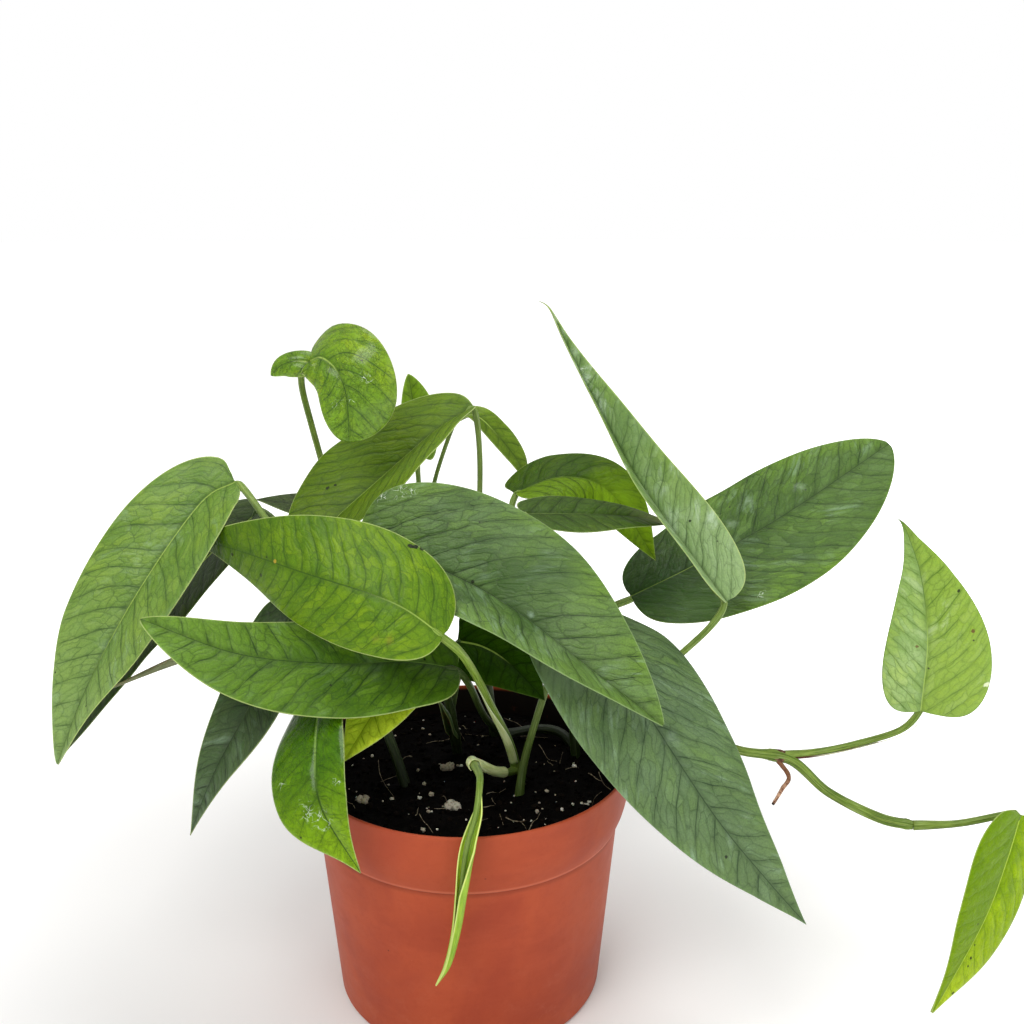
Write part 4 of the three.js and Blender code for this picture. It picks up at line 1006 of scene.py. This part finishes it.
def soil_piece():
    """The soil's own solid with a crumbly top."""
    edge, spokes = RIM_RADIUS - 1.05 - WALL, SOIL_SPOKES
    points = [circle(edge * i / SOIL_RINGS, 0, spokes) for i in range(SOIL_RINGS + 1)]
    points[0] = points[0][:1]
    for ring in points:
        ring[:, 2] = soil_height(ring[:, 0], ring[:, 1])
    points += [circle(BODY_TOP - WALL - 0.5, COLLAR_Z - 2, spokes),
               circle(HEEL_RADIUS - WALL - 0.8, HEEL_HEIGHT + 1, spokes),
               circle(BASE_RADIUS - 1.5, WALL + 0.3, spokes), (0, 0, WALL + 0.3)]
    build = Build()
    build.add(np.vstack(points), fan_faces(len(points) - 2, spokes))
    build.piece("soil_bed", [soil_skin()], "potting_soil", node="soil")


def ball(rng, radius, detail):
    """An angular crumb: a sphere of a few rings with every point pushed about."""
    rings, spokes = 3 + detail, 6 + 2 * detail
    points = [(0, 0, 1.0)]
    for i in range(1, rings):
        polar = math.pi * i / rings
        for k in range(spokes):
            a = TURN * (k + 0.5 * (i % 2)) / spokes
            points.append((math.sin(polar) * math.cos(a), math.sin(polar) * math.sin(a),
                           math.cos(polar)))
    points = np.array([*points, (0, 0, -1.0)])
    points *= rng.uniform(0.72, 1.18, (len(points), 1))
    points *= np.array([1, rng.uniform(0.6, 1.0), 0.8]) * radius
    turn, tilt = rng.uniform(0, TURN), rng.uniform(-0.7, 0.7)
    spin = np.array(Matrix.Rotation(turn, 3, "Z") @ Matrix.Rotation(tilt, 3, "X"))
    return points @ spin.T, fan_faces(rings - 1, spokes, split=True)


def scatter(rng, count, reach):
    """Random places on the soil."""
    r = reach * np.sqrt(rng.uniform(0, 1, count))
    a = rng.uniform(0, TURN, count)
    return np.c_[r * np.cos(a), r * np.sin(a)]


def crumbs_piece():
    count, reach, seed = CRUMBS
    rng, build = np.random.default_rng(seed), Build("flat")
    for x, y in scatter(rng, count, reach):
        size = 0.5 + 1.5 * rng.beta(1.3, 4.0)
        points, faces = ball(rng, size, 0)
        z = soil_height(x, y) + size * 0.25
        build.add(points + (x, y, z), faces, flat=rng.uniform(0, 1))
    build.piece("soil_crumbs", [crumb_skin()], "potting_soil", flat=True)


def perlite_piece():
    """White grains; the larger ones are clusters of lumps."""
    count, reach, seed = GRAINS
    rng, build = np.random.default_rng(seed), Build("flat")
    small = [(x, y, 0.25 + 0.9 * rng.beta(1.1, 4.5)) for x, y in scatter(rng, count, reach)]
    for x, y, size in PERLITE + small:
        tone, large = rng.uniform(0, 1), size > 1.5
        for lump in range(6 if large else 1):
            points, faces = ball(rng, size * (0.66 if large else 1), 1)
            off = rng.uniform(-0.7, 0.7, 2) * size if large else (0, 0)
            z = soil_height(x, y) + size * 0.35
            build.add(points + (x + off[0], y + off[1], z), faces, flat=tone)
    build.piece("soil_perlite", [perlite_skin()], "potting_soil")


def fibres_piece():
    count, reach, seed = FIBRES
    rng, build = np.random.default_rng(seed), Build()
    ways = [(np.array([(a + c) / 2, (b + d) / 2]), np.array([c - a, d - b]))
            for a, b, c, d in STRANDS]
    for spot in scatter(rng, count, reach):
        a, length = rng.uniform(0, TURN), rng.uniform(4, 12)
        ways.append((spot, length * np.array([math.cos(a), math.sin(a)])))
    for spot, way in ways:
        bend = np.array([-way[1], way[0]]) * rng.uniform(-0.3, 0.3)
        points = []
        for share in np.linspace(0, 1, 4):
            p = spot + way * (share - 0.5) + bend * share ** 2
            p *= min(1, FIBRE_REACH / np.hypot(*p))
            points.append((*p, soil_height(*p) + rng.uniform(0.3, 1.5)))
        thick = rng.uniform(0.1, 0.24)
        add_tube(build, Path(points, 12), lambda s: thick * (1 - 0.6 * s), sides=6, step=1.2)
    skin = fibre_skin("pale_fibre", (150, 138, 116), (84, 70, 52))
    build.piece("soil_fibres", [skin], "root")


# ---------------------------------------------------------------- rolled and papery pieces
def rolled(name):
    """A rolled piece's path, the shares of its length at its points, and an empty build."""
    knots = np.array([root_point(ROLLED[name]["root"]), *ROLLED[name]["path"]], float)
    path = Path(knots)
    marks = [path.marks[np.argmin(((path.dense - p) ** 2).sum(1))] / path.length for p in knots]
    return path, marks, Build("place", "flat")


def graph(shares, values, scale=1):
    return lambda s: np.interp(s, shares, np.array(values) * scale)


def rolled_front(skin):
    """The newest leaf: a pale sheath stub, a thin neck and a blade still rolled up, open in
    front."""
    path, marks, build = rolled("new_leaf_front")
    stub_end, top = marks[2] + 0.01, 0.5 * (marks[2] + marks[3])
    add_tube(build, path, lambda s: 1.6 - 0.5 * smooth(s, 0.5 * marks[1], stub_end), 0, sides=18,
             step=0.8, end=stub_end)
    add_gutter(build, path, lambda s: 2.15, lambda s: 2.0, (0.2, 0.3, -1.0), 1, thick=0.3,
               step=0.8, start=0.004, end=0.5 * marks[1])
    neck = graph([marks[2], marks[3], marks[4], marks[6]], [1.1, 0.95, 0.9, 0.5])
    add_tube(build, path, neck, 0, step=0.8, start=marks[2] - 0.03, end=marks[6])
    spans = [top, top + 0.05, *marks[4:8], 1.0]
    add_gutter(build, path, graph(spans, [1.0, 2.0, 2.8, 2.1, 1.6, 1.25, 0.3]),
               graph(spans, [4.2, 3.8, 3.2, 0.9, 0.25, 0.2, 0.2]), (-0.75, -1.0, 0.0), 2,
               thick=0.42, arcs=22, step=0.8, start=top, overlap=0.3)
    build.fine("new_leaf_front", [STEMS["pale"], SHEATH, skin], "young_leaf")


def rolled_spike(skin):
    """A thin, dull shoot that is still rolled up tightly."""
    path, marks, build = rolled("new_leaf_left")
    add_gutter(build, path, graph(marks, ROLLED["new_leaf_left"]["radii"], 0.95),
               lambda s: 0.5 - 0.3 * s, (-0.2, -0.7, 1.0), 0, thick=0.9, arcs=20, overlap=0.35)
    build.fine("new_leaf_left", [skin], "old_stem")


def root_piece():
    path, marks, build = rolled("aerial_root")
    bumps = Wander(5, 2.5)
    add_tube(build, path, graph(marks, [1.0, 0.85, 0.8, 0.55]), step=0.5, section=lambda a, s:
             1 + 0.12 * bumps(3 * np.cos(a), 12 * s + 3 * np.sin(a)))
    build.fine("aerial_root", [root_skin()], "root")


def cataphyll_piece(skin):
    path, marks, build = rolled("cataphyll")
    add_gutter(build, path, graph(marks, ROLLED["cataphyll"]["radii"], 1.15),
               lambda s: 2.6 - 1.2 * s, (-0.3, -1.0, 0.1), 0, thick=0.3, arcs=14, step=0.8)
    build.fine("cataphyll", [skin], "papery_sheath")


# ---------------------------------------------------------------- the plant and its pot
STEMS = {tone: stem_skin("stem_" + tone, *colours) for tone, colours in dict(
    green=((104, 132, 48), (136, 160, 76), (66, 92, 26), 0.7),
    pale=((104, 136, 34), (144, 170, 70), (70, 100, 20), 0.3),
    trailing=((96, 126, 30), (134, 158, 62), (46, 70, 14)),
    deep=((62, 90, 26), (94, 120, 48), (32, 50, 12), 0.8),
    dark=((52, 76, 22), (82, 106, 42), (26, 40, 10), 0.85)).items()}
SCAR = fibre_skin("node_scar", (74, 46, 34), (128, 96, 72))
SHEATH = sheet_skin("cream_sheath", ((228, 234, 176), (196, 208, 132)),
                    ((188, 200, 124), (160, 176, 98)), (240, 244, 206), 0.4)
DRY_SHEATH = dry_skin()

pot_piece()
soil_piece()
crumbs_piece()
perlite_piece()
fibres_piece()
for vine_name, vine in VINES.items():
    vine_piece(vine_name, **vine)
for number, (leaf_name, leaf) in enumerate(LEAVES.items()):
    leaf_piece(leaf_name, leaf, LOOKS[leaf_name], LEAF_SEED + 10 * number)
rolled_front(sheet_skin("rolled_leaf", ((150, 188, 40), (124, 164, 26)),
                        ((184, 220, 66), (160, 202, 44)), (214, 228, 130), 0.6, coat=0.2))
rolled_spike(sheet_skin("rolled_spike", ((128, 134, 96), (104, 112, 72)),
                        ((90, 100, 54), (74, 84, 42)), (158, 150, 118), 0.5))
root_piece()
cataphyll_piece(sheet_skin("green_cataphyll", ((66, 92, 42), (50, 74, 28)),
                           ((44, 70, 18), (34, 56, 12)), (140, 156, 104), 0.35))


# ---------------------------------------------------------------- floor, light and camera
SKY, FLOOR_GLOW = 0.46, 0.03
FOCAL_PIXELS, IMAGE_PIXELS, SENSOR, PITCH = 1100, 1024, 36, 15.0


def floor_piece():
    """A wide pale disc that glows a little, more so at the back and on the right, so that it
    ends as white as the backdrop."""
    radii = [250, 500, 900, 1600, 3000, 6000, 14000]
    ob = put_mesh("floor", [(0, 0, 0), *(circle(r, 0, 96) for r in radii)],
                  fan_faces(len(radii), 96, closed=False))
    n = Net("pale_floor", Roughness=0.9, Specular_IOR_Level=0.1, Emission_Color=(1, 1, 1, 1))
    where = n.put("TexCoord", out="Object")
    back = n.step(n.aim("LENGTH", where, out="Value"), 0.13, 0.44, 0, 0.64)
    side = n.step(n.split(where)[0], 0, 0.2, 0, 0.34)
    n.paint(n.noise(0.4, where=where), (0.78, 0.778, 0.77, 1), (0.82, 0.818, 0.81, 1))
    ob.data.materials.append(n.join(Emission_Strength=n.plus(back, side, FLOOR_GLOW)))


def lamp(name, place, aim, size, power, colour=(1, 1, 1)):
    light = bpy.data.lights.new(name, "AREA")
    light.shape, light.size, light.energy, light.color = "DISK", size, power, colour
    ob = put_object(name, light)
    ob.location = place
    ob.rotation_euler = (Vector(aim) - Vector(place)).to_track_quat("-Z", "Y").to_euler()


floor_piece()
lamp("key", (-0.5, -0.85, 1.35), (0, 0, 0.12), 0.9, 13.5, (1.0, 0.99, 0.97))
lamp("fill", (0.95, -0.9, 0.8), (0.03, 0, 0.12), 1.1, 4.0, (0.97, 0.985, 1.0))
lamp("top", (0.1, 0.3, 1.5), (0, 0, 0.13), 1.0, 8.5)

# A backdrop that the camera sees as white and that lights the plant less
scene = bpy.context.scene
scene.world = bpy.data.worlds.new("studio")
scene.world.use_nodes = True
tree = scene.world.node_tree
sky = next(n for n in tree.nodes if n.type == "BACKGROUND")
sky.inputs["Color"].default_value = (1, 1, 1, 1)
seen = tree.nodes.new("ShaderNodeLightPath")
level = tree.nodes.new("ShaderNodeMapRange")
level.inputs["To Min"].default_value, level.inputs["To Max"].default_value = SKY, 1.0
tree.links.new(seen.outputs["Is Camera Ray"], level.inputs["Value"])
tree.links.new(level.outputs[0], sky.inputs["Strength"])
scene.view_settings.view_transform = "Standard"
scene.view_settings.look = "None"

camera = bpy.data.cameras.new("camera")
camera.sensor_width, camera.lens = SENSOR, SENSOR * FOCAL_PIXELS / IMAGE_PIXELS
camera.clip_start, camera.clip_end = 0.01, 50
eye = put_object("camera", camera)
eye.location = (0.0163, -0.3731, 0.2841)
eye.rotation_euler = (math.radians(90 - PITCH), 0, 0)
scene.camera = eye
